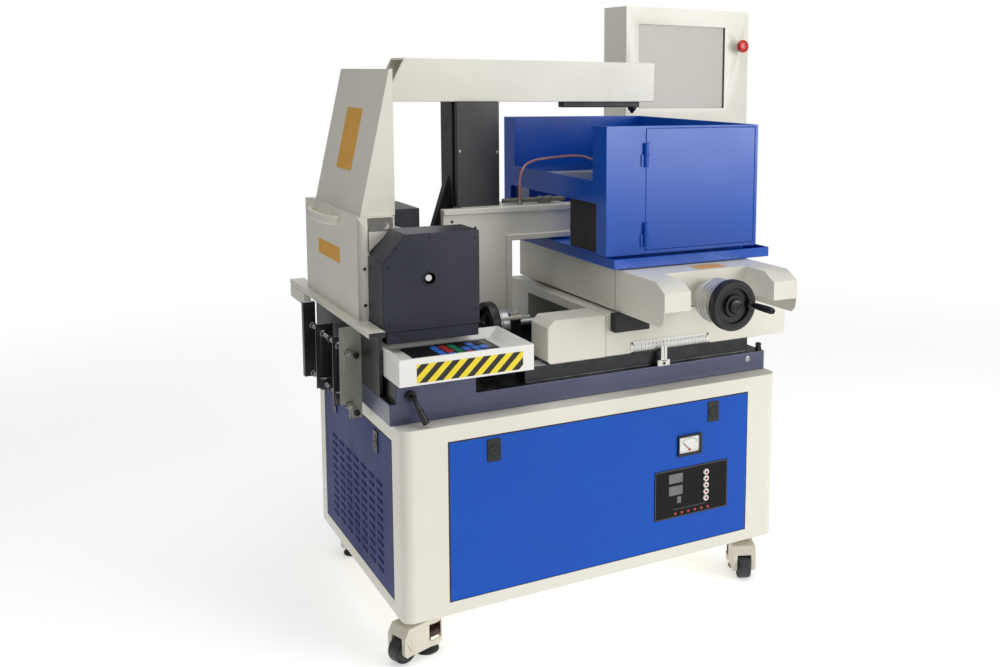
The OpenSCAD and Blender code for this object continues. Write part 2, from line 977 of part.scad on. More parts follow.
module castor_wheel(i) {
    castor_frame(i) color("#202022") translate([wheel_offset, 0, axle_z]) rotate([90, 0, 0]) rotate_extrude()
        polygon([[axle_r + run_gap, -wheel_w / 2], [wheel_r * 0.5, -wheel_w / 2],
            [wheel_r * 0.56, -wheel_w * 0.38], [wheel_r * 0.8, -wheel_w * 0.38],
            [wheel_r * 0.86, -wheel_w / 2], [wheel_r * 0.95, -wheel_w / 2],
            [wheel_r, -wheel_w * 0.34], [wheel_r, wheel_w * 0.34],
            [wheel_r * 0.95, wheel_w / 2], [wheel_r * 0.86, wheel_w / 2],
            [wheel_r * 0.8, wheel_w * 0.38], [wheel_r * 0.56, wheel_w * 0.38],
            [wheel_r * 0.5, wheel_w / 2], [axle_r + run_gap, wheel_w / 2]]);
}

module castor_wheel_1() {
    castor_wheel(0);
}

module castor_wheel_2() {
    castor_wheel(1);
}

module castor_wheel_3() {
    castor_wheel(2);
}

module castor_wheel_4() {
    castor_wheel(3);
}

// The four levelling feet: pad, stem and thumbwheel, on the swivel axes
module castor_feet() {
    pad_r = foot_d / 2;
    placed() color("#7c3a2c") for (i = [0:3]) translate([foot_x[i], foot_y[i], 0]) rotate_extrude()
        polygon([[0, 0], [pad_r, 0], [pad_r, pad_h * 0.4], [pad_r * 0.7, pad_h],
            [stem_r, pad_h], [stem_r, thumb_z], [thumb_r, thumb_z], [thumb_r, thumb_z + thumb_t],
            [stem_r, thumb_z + thumb_t], [stem_r, stem_top], [0, stem_top]]);
}

module bed() {
    placed() color("#23242a") difference() {
        union() {
            span([bed_x0, bed_y0, top_z], [bed_x1, bed_y1, bed_top]);
            span([way_x0, way_y_front, bed_top], [way_x1, way_y_front + way_w, way_top]);
            span([way_x0_rear, way_y_rear, bed_top], [way_x1, way_y_rear + way_w, way_top]);
            span([console_x0 + console_wall + seat_gap, bed_y0, bed_top],
                [console_x0 + console_w * 0.6, console_y0 + console_d - console_wall - seat_gap,
                    console_ceiling - seat_gap]);
            span([bearing_x, x_screw_y - bearing_w / 2, bed_top],
                [bearing_x + bearing_t, x_screw_y + bearing_w / 2, x_screw_z + bearing_w / 2]);
            span([end_bearing_x, x_screw_y - end_bearing_w / 2, bed_top],
                [end_bearing_x + end_bearing_t, x_screw_y + end_bearing_w / 2,
                    x_screw_z + end_bearing_w / 2]);
        }
        rod_x([bearing_x - cut, x_screw_y, x_screw_z], bearing_t + 2 * cut, screw_r + run_gap);
        rod_x([end_bearing_x - cut, x_screw_y, x_screw_z], end_bearing_t + 2 * cut, screw_r + run_gap);
    }
}

// Fixed base of the drum's carriage, and the ledge that the guard stands on
module drum_base() {
    placed() color("#3a3b42") {
        span([base_x0, base_y0, bed_top], [base_x1, base_y1, base_top]);
        for (x = [base_x0 + drum_way_inset, base_x1 - drum_way_inset - drum_way_w])
            span([x, base_y0, base_top], [x + drum_way_w, base_y1, base_top + drum_way_h]);
        span([bed_x0, ledge_y0, bed_top], [bed_x0 + web_t, base_y1, ledge_top - ledge_t]);
        span([ledge_x0, ledge_y0, ledge_top - ledge_t], [ledge_x0 + ledge_w, ledge_y1, ledge_top]);
        span([bed_x0, base_y1 - thick_t, bed_top], [base_x0, base_y1, ledge_top - ledge_t]);
    }
}

module drum_carriage() {
    placed() color("#4a4b52") span([carriage_x0, carriage_y0, carriage_z],
        [carriage_x1, carriage_y1, carriage_top]);
}

module gear_cover() {
    x0 = gear_cover_x0;
    x1 = gear_cover_x0 + gear_cover_w;
    z0 = carriage_top;
    z1 = z0 + gear_cover_h;
    y1 = gear_cover_y0 + gear_cover_d;
    t = gear_cover_t;
    placed() color("#25283a") difference() {
        along_y(gear_cover_y0, gear_cover_d, [[x0, z0], [x1, z0], [x1, z1],
            [x0 + gear_cover_chamfer_w, z1], [x0, z1 - gear_cover_chamfer_h]]);
        along_y(gear_cover_y0 + t, gear_cover_d - 2 * t, [[x0 + t, z0 - cut], [x1 - t, z0 - cut],
            [x1 - t, z1 - t], [x0 + gear_cover_chamfer_w + t / 2, z1 - t],
            [x0 + t, z1 - gear_cover_chamfer_h - t / 2]]);
        rod_y([drum_x, gear_cover_y0 - cut, drum_z], t + 2 * cut, crank_hole_r + drum_shaft_d / 8);
        rod_y([drum_x, y1 - t - cut, drum_z], t + 2 * cut, drum_shaft_d / 2 + run_gap);
    }
}

module drum_motor() {
    x0 = motor_cover_x0;
    x1 = x0 + motor_cover_w;
    y1 = motor_cover_y0 + motor_cover_d;
    placed() color("#25283a") {
        difference() {
            span([x0, motor_cover_y0, carriage_top], [x1, y1, carriage_top + motor_cover_h]);
            rod_y([drum_x, motor_cover_y0 - cut, drum_z], motor_cover_d / 2, drum_shaft_d / 2 + run_gap);
        }
        rod_y([drum_x, y1, drum_z], motor_l, motor_r);
        for (i = [0:fin_n - 1]) translate([drum_x, y1, drum_z]) rotate([0, i * 360 / fin_n, 0])
            span([motor_r - cut, 0, -fin_w / 2], [motor_r + fin_h, motor_l * 0.8, fin_w / 2]);
    }
}

// The wire drum with its rims, its shaft and the pinion inside the gear cover
module drum() {
    r = drum_d / 2;
    s = drum_shaft_d / 2;
    shaft_y0 = gear_cover_y0 + drum_shaft_gap;
    shaft_y1 = motor_cover_y0 + motor_cover_d / 4;
    placed() color("#b9bcc2") translate([drum_x, 0, drum_z]) rotate([-90, 0, 0]) rotate_extrude()
        polygon([[0, shaft_y0], [s * 0.7, shaft_y0], [s * 0.7, drum_gear_y], [drum_gear_r, drum_gear_y],
            [drum_gear_r, drum_gear_y + drum_gear_w], [s, drum_gear_y + drum_gear_w], [s, drum_y0],
            [r, drum_y0], [r, drum_y0 + drum_rim_w], [r - drum_rim_h, drum_y0 + drum_rim_w],
            [r - drum_rim_h, drum_y1 - drum_rim_w], [r, drum_y1 - drum_rim_w], [r, drum_y1],
            [s, drum_y1], [s, shaft_y1], [0, shaft_y1]]);
}

// Angle plate and clamp plates on the left side, joined by threaded rods
module side_bracket() {
    y0 = bracket_plates[0][0];
    t = bracket_t;
    placed() color("#8d8f86") {
        for (p = bracket_plates) {
            plate = p[0] == bracket_plates[3][0] ? rear_plate_t : t;
            span([p[1], p[0], p[3]], [p[2], p[0] + plate, p[4]]);
            for (z = rod_z) rod_y([rod_x, p[0] - nut_t, z], nut_t, nut_r);
        }
        span([bracket_foot_x, y0, bracket_foot_z], [bed_x0, y0 + t, bracket_plates[0][3]]);
        span([bed_x0 - t, y0, bracket_plates[0][3]], [bed_x0, bracket_leg_y1, ledge_top - ledge_t]);
        for (z = rod_z) rod_y([rod_x, y0 - nut_t, z], rod_y1 - y0 + nut_t, rod_r);
        for (p = [bracket_plates[1], bracket_plates[2]])
            span([rod_x - clamp_w / 2, p[0] - clamp_t, rod_z[0] - clamp_h / 2],
                [rod_x + clamp_w / 2, p[0], rod_z[0] + clamp_h / 2]);
        for (z = [bracket_foot_z + bolt_r * 3, bed_top + bolt_r * 10])
            rod_y([bracket_foot_x + clamp_h / 2, y0 - bolt_t, z], bolt_t, bolt_r);
    }
}

module guard_lower() {
    x0 = guard_x0;
    x1 = x0 + guard_w;
    y1 = guard_y0 + guard_d;
    t = sheet_t;
    hy0 = guard_y0 + (guard_d - guard_handle_l) / 2;
    hy1 = hy0 + guard_handle_l;
    hx = x0 - handle_reach;
    placed() color("#d9d6c6") {
        difference() {
            span([x0, guard_y0, guard_z], [x1, y1, guard_top]);
            span([x0 + t, guard_y0 + t, guard_z - cut], [x1 + cut, y1 - t, guard_top - t]);
            span([guard_notch_x, guard_y0 - cut, guard_z - cut],
                [x1 + cut, guard_y0 + t + cut, guard_notch_top]);
            span([x1 - guard_port_w, guard_up_y0 + t, guard_top - t - cut],
                [x1 + cut, guard_up_y0 + guard_up_d - t, guard_top + cut]);
        }
        for (y = [hy0, hy1]) rod_x([hx, y, handle_z], handle_reach, handle_r);
        rod_y([hx, hy0, handle_z], guard_handle_l, handle_r);
        for (y = [hy0, hy1]) translate([hx, y, handle_z]) sphere(handle_r);
    }
}

module guard_upper() {
    x0 = guard_up_x0;
    x1 = guard_up_x1;
    z0 = guard_top;
    z1 = guard_top + guard_up_h;
    t = sheet_t;
    top_x = x1 - guard_top_w;
    placed() color("#d9d6c6") difference() {
        along_y(guard_up_y0, guard_up_d, [[x0, z0], [x1, z0], [x1, z1], [top_x, z1]]);
        along_y(guard_up_y0 + t, guard_up_d - 2 * t, [[x0 + t, z0 - cut], [x1 + cut, z0 - cut],
            [x1 + cut, z1 - t], [top_x + t, z1 - t]]);
    }
}

// Base casting: post, foot flange, lower arm with a raised rim, and the slender wire arm tip
module column_base() {
    x0 = base_post_x0;
    x1 = x0 + base_w;
    y0 = base_post_y0;
    y1 = y0 + base_post_d;
    z1 = base_top_z;
    az = z1 - lower_arm_h;
    pocket = guide_w / 2 + guide_pocket_gap;
    wheel_x = wire_x - guide_d / 2;
    wheel_z = tip_z + tip_h - guide_d / 2 + guide_pocket_gap;
    placed() color("#d9d6c6") {
        difference() {
            union() {
                span([x0, y0, bed_top], [x1, y0 + base_plate_t, z1]);
                span([base_body_x0, y0, bed_top], [x1, y1, z1]);
                span([x1, y0, az], [lower_arm_x1, y0 + lower_arm_d, z1]);
                span([x0, y0, bed_top], [x1 + foot_flange_w, y1 + foot_flange_w, bed_top + foot_flange_h]);
            }
            along_x(x0 - cut, x1 - x0 - rim_w + cut, [[y0 - cut, bed_top + foot_flange_h + rim_w],
                [y0 + rim_t, bed_top + foot_flange_h + rim_w], [y0 + rim_t, z1 - rim_w],
                [y0 - cut, z1 - rim_w]]);
            span([x1 - rim_w - cut, y0 - cut, az + rim_w], [lower_arm_x1 + cut, y0 + rim_t, z1 - rim_w]);
        }
        difference() {
            union() {
                span([lower_arm_x1, wire_y - tip_w / 2, tip_z], [tip_x1, wire_y + tip_w / 2, tip_z + tip_h]);
                translate([wire_x, wire_y, tip_z + tip_h])
                    cylinder(h = nozzle_h, r1 = tip_w / 2 - free_gap, r2 = nozzle_r);
            }
            rod_y([wheel_x, wire_y - pocket, wheel_z], 2 * pocket, guide_d / 2 + guide_pocket_gap);
            span([lower_arm_x1 - cut, wire_y - pocket, tip_z + tip_h * 0.6],
                [wheel_x, wire_y + pocket, tip_z + tip_h + cut]);
            rod_z([wire_x, wire_y, wheel_z], tip_h + nozzle_h, nozzle_tip_r);
        }
        rod_y([wheel_x, wire_y - tip_w / 2, wheel_z], tip_w, guide_bore_r);
    }
}

module column() {
    x0 = column_x0;
    x1 = x0 + column_w;
    y0 = column_y0;
    z0 = base_top_z;
    z1 = arm_z - seat_gap;
    mid = (x0 + x1) / 2;
    placed() color("#26272b") {
        difference() {
            span([x0, y0, z0], [x1, y0 + column_d, z1]);
            span([mid - neck_w / 2 - seat_gap, y0 - cut, z0 - cut],
                [mid + neck_w / 2 + seat_gap, slide_y0 + slide_t + neck_d + seat_gap, z1 + cut]);
        }
        along_y(y0 + rib_t, rib_t, [[x0, rib_top_z], [x0 - rib_w, rib_low_z], [x0 - rib_w, rib_foot_z],
            [base_body_x0 - seat_gap, rib_foot_z], [base_body_x0 - seat_gap, z0], [x1, z0]]);
    }
}

// The black slide plate that lifts with the upper arm on the column
module arm_slide() {
    x0 = column_x0;
    x1 = x0 + column_w;
    mid = (x0 + x1) / 2;
    z0 = base_top_z + seat_gap;
    placed() color("#202125") {
        span([x0, slide_y0, z0], [x1, slide_y0 + slide_t, arm_z]);
        span([mid - neck_w / 2, slide_y0 + slide_t, z0],
            [mid + neck_w / 2, slide_y0 + slide_t + neck_d, arm_z]);
    }
}

arm_x1 = arm_x0 + arm_l;
upper_wheel_x = wire_x - guide_d / 2;
upper_wheel_z = arm_z + guide_d / 2 + guide_pocket_gap;

module upper_arm() {
    w = arm_wall;
    pocket = guide_w / 2 + guide_pocket_gap;
    pocket_r = guide_d / 2 + guide_pocket_gap;
    placed() color("#d9d6c6") {
        difference() {
            along_y(arm_y0, arm_d, [[arm_x0, arm_z], [arm_x1, arm_z], [arm_x1, arm_top],
                [arm_x0 + arm_slant, arm_top]]);
            along_y(arm_y0 + w, arm_d - 2 * w, [[arm_x0 - arm_slant, arm_z + w],
                [upper_wheel_x - pocket_r * 2, arm_z + w], [upper_wheel_x - pocket_r * 2, arm_top - w],
                [arm_x0 - arm_slant, arm_top - w]]);
            span([upper_wheel_x - pocket_r, wire_y - pocket, arm_z - cut],
                [upper_wheel_x + pocket_r, wire_y + pocket, upper_wheel_z + pocket_r]);
        }
        rod_y([upper_wheel_x, wire_y - pocket - w, upper_wheel_z], 2 * (pocket + w), guide_bore_r);
    }
}

// Bar under the upper arm that carries the upper wire nozzle
module nozzle_bar() {
    pocket = guide_w / 2 + guide_pocket_gap;
    placed() color("#1f2024") difference() {
        union() {
            span([bar_x0, wire_y - bar_w / 2, arm_z - bar_h], [bar_x1, wire_y + bar_w / 2, arm_z]);
            translate([wire_x, wire_y, arm_z - bar_h - nozzle_h]) cylinder(h = nozzle_h, r1 = nozzle_r,
                r2 = bar_w / 2 - free_gap);
        }
        rod_z([wire_x, wire_y, arm_z - bar_h - nozzle_h - cut], nozzle_h + bar_h + 2 * cut, nozzle_tip_r);
        span([bar_x0 + bar_w, wire_y - pocket / 2, arm_z - bar_h / 2],
            [wire_x - nozzle_r * 2, wire_y + pocket / 2, arm_z + cut]);
    }
}

module guide_wheel(x, z) {
    r = guide_d / 2;
    half = guide_w / 2;
    placed() color("#c9ccd0") translate([x, wire_y, z]) rotate([-90, 0, 0]) rotate_extrude()
        polygon([[guide_bore_r + run_gap, -half], [r, -half], [r - guide_groove, 0], [r, half],
            [guide_bore_r + run_gap, half]]);
}

module upper_guide_wheel() {
    guide_wheel(upper_wheel_x, upper_wheel_z);
}

module lower_guide_wheel() {
    guide_wheel(wire_x - guide_d / 2, tip_z + tip_h - guide_d / 2 + guide_pocket_gap);
}

// Grey conduit and its fitting, lying on the lower arm
module wire_conduit() {
    z = base_top_z + conduit_rise;
    placed() color("#9a9c9e") {
        rod_x([conduit_x0, conduit_y, z], conduit_x1 - conduit_x0, conduit_r);
        span([fitting_x, conduit_y - fitting_r, base_top_z],
            [fitting_x + fitting_l, conduit_y + fitting_r, base_top_z + 2 * conduit_rise]);
    }
}

// A ring of points square to the route at point i
function hose_ring(i) =
    let(n = len(hose_points),
        a = hose_points[max(i - 1, 0)],
        b = hose_points[min(i + 1, n - 1)],
        d = (b - a) / norm(b - a),
        side = cross(d, [0, 1, 0]) / norm(cross(d, [0, 1, 0])),
        up = cross(side, d))
    [for (k = [0:hose_sides - 1]) hose_points[i]
        + hose_r * (cos(k * 360 / hose_sides) * side + sin(k * 360 / hose_sides) * up)];

module coolant_hose() {
    n = len(hose_points);
    s = hose_sides;
    rings = [for (i = [0:n - 1]) each hose_ring(i)];
    sides = [for (i = [0:n - 2], k = [0:s - 1])
        each let(a = i * s + k, b = i * s + (k + 1) % s) [[a, b, a + s], [b, b + s, a + s]]];
    start = [for (k = [1:s - 2]) [0, k + 1, k]];
    end = [for (k = [1:s - 2]) [(n - 1) * s, (n - 1) * s + k, (n - 1) * s + k + 1]];
    placed() color("#c07a70") polyhedron(points = rings, faces = concat(sides, start, end));
}

// Lower slide: a casting over both ways, with the nut of the x screw and the y ways on top
module x_slide() {
    x0 = x_slide_x0;
    x1 = x0 + x_slide_l;
    y0 = x_slide_y0;
    y1 = y0 + x_slide_d;
    z0 = x_slide_z;
    z1 = x_slide_top;
    inner_y0 = y0 + slide_skirt_t + thick_t;
    inner_y1 = y1 - slide_skirt_t - way_w;
    placed() color("#d9d6c6") {
        difference() {
            union() {
                span([x0, y0, z0], [x1, y1, z1]);
                for (x = y_way_x) span([x, y0, z1], [x + y_way_w, y1, z1 + y_way_h]);
                span([y_screw_x - nut_w / 2, y_nut_y, z1], [y_screw_x + nut_w / 2, y_nut_y + nut_l,
                    y_screw_z + nut_w / 2]);
            }
            span([x0 - cut, inner_y0, z0 - cut], [x1 + cut, inner_y1, z1 - x_slide_roof_t]);
            rod_y([y_screw_x, y_nut_y - cut, y_screw_z], nut_l + 2 * cut, screw_r + run_gap);
        }
        difference() {
            span([x_nut_x, x_screw_y - nut_w / 2, z0], [x_nut_x + nut_l, x_screw_y + nut_w / 2,
                z1 - x_slide_roof_t]);
            rod_x([x_nut_x - cut, x_screw_y, x_screw_z], nut_l + 2 * cut, screw_r + run_gap);
        }
    }
}

// End cover over the front way at the lower slide's left end
module x_end_cover() {
    x1 = x_slide_x0;
    x0 = x1 - x_cover_l;
    z0 = x_slide_z;
    z1 = x_slide_top;
    c = x_cover_chamfer;
    e = x_cover_toe;
    t = sheet_t;
    outer = [[x0 + e, z0], [x1, z0], [x1, z1], [x0 + c, z1], [x0, z1 - c], [x0, z0 + e]];
    inner = [[x0 + t, z0 - cut], [x1 + cut, z0 - cut], [x1 + cut, z1 - t], [x0 + c + t / 2, z1 - t],
        [x0 + t, z1 - c - t / 2]];
    placed() color("#d9d6c6") difference() {
        along_y(x_cover_y0, x_cover_d, outer);
        along_y(x_cover_y0 + t, x_cover_d - 2 * t, inner);
    }
}

// Handwheel profile around its axis: rim, dished web and hub; a is along the axis
module wheel_body(bore) {
    rotate_extrude() polygon([[bore, 0], [hub_r, 0], [hub_r, dish_d], [dish_r, dish_d],
        [dish_r + plate_t, 0], [hand_r - plate_t, 0], [hand_r, plate_t], [hand_r, hand_w - plate_t],
        [hand_r - plate_t, hand_w], [bore, hand_w]]);
}

// The x handwheel with its lead screw and the sleeve between them
module x_handwheel() {
    hub_x = x_wheel_x + hand_w;
    placed() {
        color("#18191b") {
            translate([x_wheel_x, x_screw_y, x_screw_z]) rotate([0, 90, 0]) wheel_body(screw_r * 0.7);
            rod_x([x_wheel_x - x_crank_l + plate_t, x_screw_y, x_screw_z + crank_offset],
                x_crank_l, crank_r);
        }
        color("#aeb1b5") {
            rod_x([x_wheel_x, x_screw_y, x_screw_z], hand_w + cut, screw_r * 0.7);
            rod_x([hub_x, x_screw_y, x_screw_z], x_screw_x1 - hub_x, screw_r);
            rod_x([hub_x, x_screw_y, x_screw_z], bearing_x - seat_gap - hub_x, collar_d / 3);
        }
    }
}

module y_slide() {
    x0 = y_slide_x0;
    x1 = x0 + y_slide_w;
    y0 = y_slide_y0;
    y1 = y0 + y_slide_d;
    half = channel_w / 2;
    boss = y_boss_w / 2;
    placed() color("#c9c7ba") difference() {
        union() {
            span([x0, y0, y_slide_z], [x1, y1, y_slide_top]);
            span([y_screw_x - boss, y_boss_y0, y_screw_z - boss], [y_screw_x + boss, y0, y_screw_z + boss]);
        }
        span([y_screw_x - half, y0 + thick_t, y_slide_z - cut],
            [y_screw_x + half, y1 + cut, y_slide_z + channel_h]);
        rod_y([y_screw_x, y_boss_y0 - cut, y_screw_z], y0 - y_boss_y0 + thick_t + 2 * cut, screw_r + run_gap);
    }
}

// One side of the upper slide's cover: outer plate, horn front and inner plate
module cover_side(x_out, x_in) {
    z0 = y_cover_z;
    z1 = y_cover_top;
    hy = horn_y0;
    t = y_cover_t;
    xa = min(x_out, x_in);
    xb = max(x_out, x_in);
    outer_x = x_out < x_in ? xa : xb - t;
    inner_x = x_out < x_in ? xb - t : xa;
    slope = [[hy, z1 - horn_slope_h], [hy + horn_slope_d, z1], [hy + horn_slope_d, z1 - t],
        [hy + t, z1 - horn_slope_h - t / 2], [hy + t, z0 + horn_lift], [hy, z0 + horn_lift]];
    along_x(outer_x, t, [[hy, z1 - horn_slope_h], [hy + horn_slope_d, z1], [y_cover_y1, z1],
        [y_cover_y1, z0], [hy + thick_t * 1.5, z0], [hy + plate_t, z0 + thick_t], [hy, z0 + horn_lift]]);
    along_x(inner_x, t, [[hy, z1 - horn_slope_h], [hy + horn_slope_d, z1], [y_front_y + t, z1],
        [y_front_y + t, z0 + horn_lift], [hy, z0 + horn_lift]]);
    along_x(xa, xb - xa, slope);
    span([xa, hy + horn_slope_d, z1 - t], [xb, y_front_y + t, z1]);
}

module y_cover() {
    x0 = y_cover_x0;
    x1 = x0 + y_cover_w;
    z1 = y_cover_top;
    t = y_cover_t;
    placed() color("#d9d6c6") difference() {
        union() {
            cover_side(x0, x0 + horn_w);
            cover_side(x1, x1 - horn_w);
            span([x0, y_front_y, z1 - t], [x1, y_slide_y0 - seat_gap, z1]);
            span([x0, y_slide_y0 - seat_gap, z1 - t], [y_slide_x0 - seat_gap, y_cover_y1, z1]);
            span([y_slide_x0 + y_slide_w + seat_gap, y_slide_y0 - seat_gap, z1 - t], [x1, y_cover_y1, z1]);
            span([x0 + horn_w - t, y_front_y, front_plate_z], [x1 - horn_w + t, y_front_y + t, z1]);
            span([x0, y_cover_y1 - t, y_slide_z + free_gap], [x1, y_cover_y1, z1]);
        }
        rod_y([y_screw_x, y_front_y - cut, y_screw_z], t + 2 * cut, shaft_hole_r);
    }
}

module y_handwheel() {
    a = crank_angle;
    placed() color("#18191b") {
        translate([y_screw_x, y_wheel_y, y_screw_z]) rotate([-90, 0, 0]) wheel_body(screw_r * 0.7);
        rod_y([y_screw_x + crank_offset * cos(a), span_y0, y_screw_z + crank_offset * sin(a)],
            y_wheel_y + plate_t - span_y0, crank_r);
    }
}

// The y screw with the graduated collar behind the handwheel
module y_screw() {
    placed() color("#b8babd") translate([y_screw_x, 0, y_screw_z]) rotate([-90, 0, 0]) rotate_extrude()
        polygon([[0, y_wheel_y], [screw_r * 0.7, y_wheel_y], [screw_r * 0.7, y_wheel_y + hand_w],
            [screw_r, y_wheel_y + hand_w], [screw_r, collar_y0], [collar_d / 2, collar_y0],
            [collar_d / 2, collar_y0 + collar_l * 0.7], [collar_d * 0.42, collar_y0 + collar_l * 0.7],
            [collar_d * 0.42, collar_y0 + collar_l], [screw_r, collar_y0 + collar_l],
            [screw_r, y_slide_y0 + y_slide_d - thick_t], [0, y_slide_y0 + y_slide_d - thick_t]]);
}

module tank() {
    x0 = tank_x0;
    x1 = tank_x1;
    y0 = tank_y0;
    y1 = tank_y1;
    z0 = tank_z;
    z1 = tank_top;
    t = sheet_t;
    port_z = z0 + tank_port_h;
    placed() color("#1f4fae") {
        difference() {
            span([x0, y0, z0], [x1, y1, z1]);
            span([x0 + t, y0 + t, z0 + t], [x1 - t, y1 - t, z1 + cut]);
            span([x0 - cut, y0 + port_front, z0 + t], [x0 + t + cut, y1 - port_rear, port_z]);
            span([x0 - cut, y0 + front_post_d, port_z + band_h],
                [x0 + t + cut, y1 - rear_post_d, z1 + cut]);
            span([door_x0 - door_gap, y0 - cut, z0 + door_rim],
                [door_x0 + door_w + door_gap, y0 + t + cut, z1 - door_lid_rim]);
        }
        for (z = hinge_z) {
            rod_z([hinge_x, hinge_y, z], hinge_l / 2, hinge_r);
            rod_z([hinge_x, hinge_y, z], hinge_l - free_gap, hinge_pin_r);
            span([hinge_x - leaf_w, y0 - leaf_t, z], [hinge_x - door_gap, y0, z + hinge_l / 2]);
        }
    }
}

// Rubber curtain behind the front part of the opening for the lower arm
module port_curtain() {
    x0 = tank_x0 + sheet_t;
    y0 = tank_y0 + port_front - curtain_lap;
    placed() color("#141416") span([x0, y0, tank_z + sheet_t],
        [x0 + curtain_t, y0 + curtain_lap + curtain_w, tank_z + tank_port_h + curtain_lap]);
}

module tank_door() {
    x0 = door_x0;
    x1 = x0 + door_w;
    y0 = tank_y0;
    z0 = tank_z + door_rim + door_gap;
    z1 = tank_top - door_lid_rim - door_gap;
    t = sheet_t;
    placed() color("#1f4fae") {
        difference() {
            span([x0, y0, z0], [x1, y0 + door_t, z1]);
            span([x0 + t, y0 + t, z0 + t], [x1 - t, y0 + door_t + cut, z1 - t]);
        }
        for (z = hinge_z) {
            half = hinge_l / 2;
            difference() {
                rod_z([hinge_x, hinge_y, z + half + seat_gap], half - seat_gap, hinge_r);
                rod_z([hinge_x, hinge_y, z + half - cut], half + 2 * cut, hinge_pin_r + run_gap);
            }
            span([hinge_x + hinge_r / 2, y0 - leaf_t, z + half + seat_gap], [x0 + leaf_w, y0, z + hinge_l]);
        }
    }
}

module drip_tray() {
    x0 = tray_x0;
    x1 = x0 + tray_w;
    y0 = tray_y0;
    y1 = y0 + tray_d;
    z0 = tray_z;
    t = sheet_t;
    placed() color("#1f4fae") {
        difference() {
            span([x0, y0, z0], [x1, y1, z0 + tray_rim_h]);
            span([x0 + t, y0 + t, z0 + t], [x1 - t, y1 - t, z0 + tray_rim_h + cut]);
        }
        for (y = [y0 + tray_d * 0.12, y0 + tray_d * 0.45, y0 + tray_d * 0.8])
            span([x0 + t, y, z0 + t], [tank_x1 - t, y + tray_bar_w, z0 + tray_bar_h]);
    }
}

// Two table rails on posts, with clamping holes
module work_table() {
    z0 = tank_z + sheet_t;
    z1 = tank_z + table_h;
    placed() color("#8e9196") for (y = table_y) difference() {
        union() {
            span([table_x0, y, z1 - table_rail_t], [table_x1, y + table_rail_w, z1]);
            for (x = [table_x0, table_x1 - post_w]) span([x, y + (table_rail_w - post_w) / 2, z0],
                [x + post_w, y + (table_rail_w + post_w) / 2, z1 - table_rail_t]);
        }
        for (x = [table_x0 + table_hole_inset, table_x1 - table_hole_inset])
            rod_z([x, y + table_rail_w / 2, z1 - table_rail_t - cut], table_rail_t + 2 * cut, table_hole_r);
    }
}

// Open console tray whose inside slopes down to the keypad
module console_tray() {
    x0 = console_x0;
    x1 = x0 + console_w;
    y0 = console_y0;
    y1 = y0 + console_d;
    z1 = console_top;
    zs = z1 - console_sink;
    r = console_rim;
    s = console_slope;
    t = console_wall;
    placed() color("#d9d6c6") difference() {
        span([x0, y0, console_z], [x1, y1, z1]);
        intersection() {
            along_y(y0, console_d, [[x0 + r + s, zs], [x1 - r - s, zs], [x1 - r, z1], [x1 - r, z1 + cut],
                [x0 + r, z1 + cut], [x0 + r, z1]]);
            along_x(x0, console_w, [[y0 + r + s, zs], [y1 - r - s, zs], [y1 - r, z1], [y1 - r, z1 + cut],
                [y0 + r, z1 + cut], [y0 + r, z1]]);
        }
        span([x0 + t, y0 + t, console_z - cut], [x1 - t, y1 - t, console_ceiling]);
    }
}

// Membrane keypad: a plate with raised keys
module keypad() {
    x0 = console_x0 + (console_w - key_plate_w) / 2;
    y0 = console_y0 + (console_d - key_plate_d) / 2;
    z0 = console_top - console_sink;
    pitch_x = key_plate_w / key_cols;
    pitch_y = key_plate_d / key_rows;
    placed() color("#17181a") {
        span([x0, y0, z0], [x0 + key_plate_w, y0 + key_plate_d, z0 + key_plate_t]);
        for (i = [0:key_cols - 1], j = [0:key_rows - 1]) {
            x = x0 + pitch_x * i + (pitch_x - key_w) / 2;
            y = y0 + pitch_y * j + (pitch_y - key_d) / 2;
            span([x, y, z0 + key_plate_t], [x + key_w, y + key_d, z0 + key_plate_t + key_t]);
        }
    }
}

// Box with a sunken screen, the screen's glass and the stop button's base
module control_box() {
    x0 = box_x0;
    y0 = box_y0;
    z0 = box_z;
    w = box_wall;
    sx = screen_x0;
    sz = screen_z0;
    placed() color("#d9d6c6") {
        difference() {
            union() {
                span([x0, y0, z0], [x0 + box_w, y0 + box_d, z0 + box_h]);
                rod_z([pole_x, pole_y, z0 - boss_h], boss_h, boss_r);
            }
            difference() {
                span([x0 + w, y0 + w, z0 + w + spigot_l], [x0 + box_w - w, y0 + box_d - w, z0 + box_h - w]);
                span([sx - w, y0, sz - w], [sx + screen_w + w, y0 + screen_sink + w, sz + screen_h + w]);
            }
            span([sx, y0 - cut, sz], [sx + screen_w, y0 + screen_sink, sz + screen_h]);
            rod_z([pole_x, pole_y, z0 - boss_h - cut], boss_h + spigot_l + cut, spigot_r + run_gap);
            rod_y([estop_x, y0 - cut, estop_z], w + 2 * cut, estop_stem_r + run_gap);
        }
        span([sx, y0 + screen_sink - glass_t, sz], [sx + screen_w, y0 + screen_sink, sz + screen_h]);
        difference() {
            rod_y([estop_x, y0 - estop_base_t, estop_z], estop_base_t, estop_base_r);
            rod_y([estop_x, y0 - estop_base_t - cut, estop_z], estop_base_t + 2 * cut,
                estop_stem_r + run_gap);
        }
    }
}

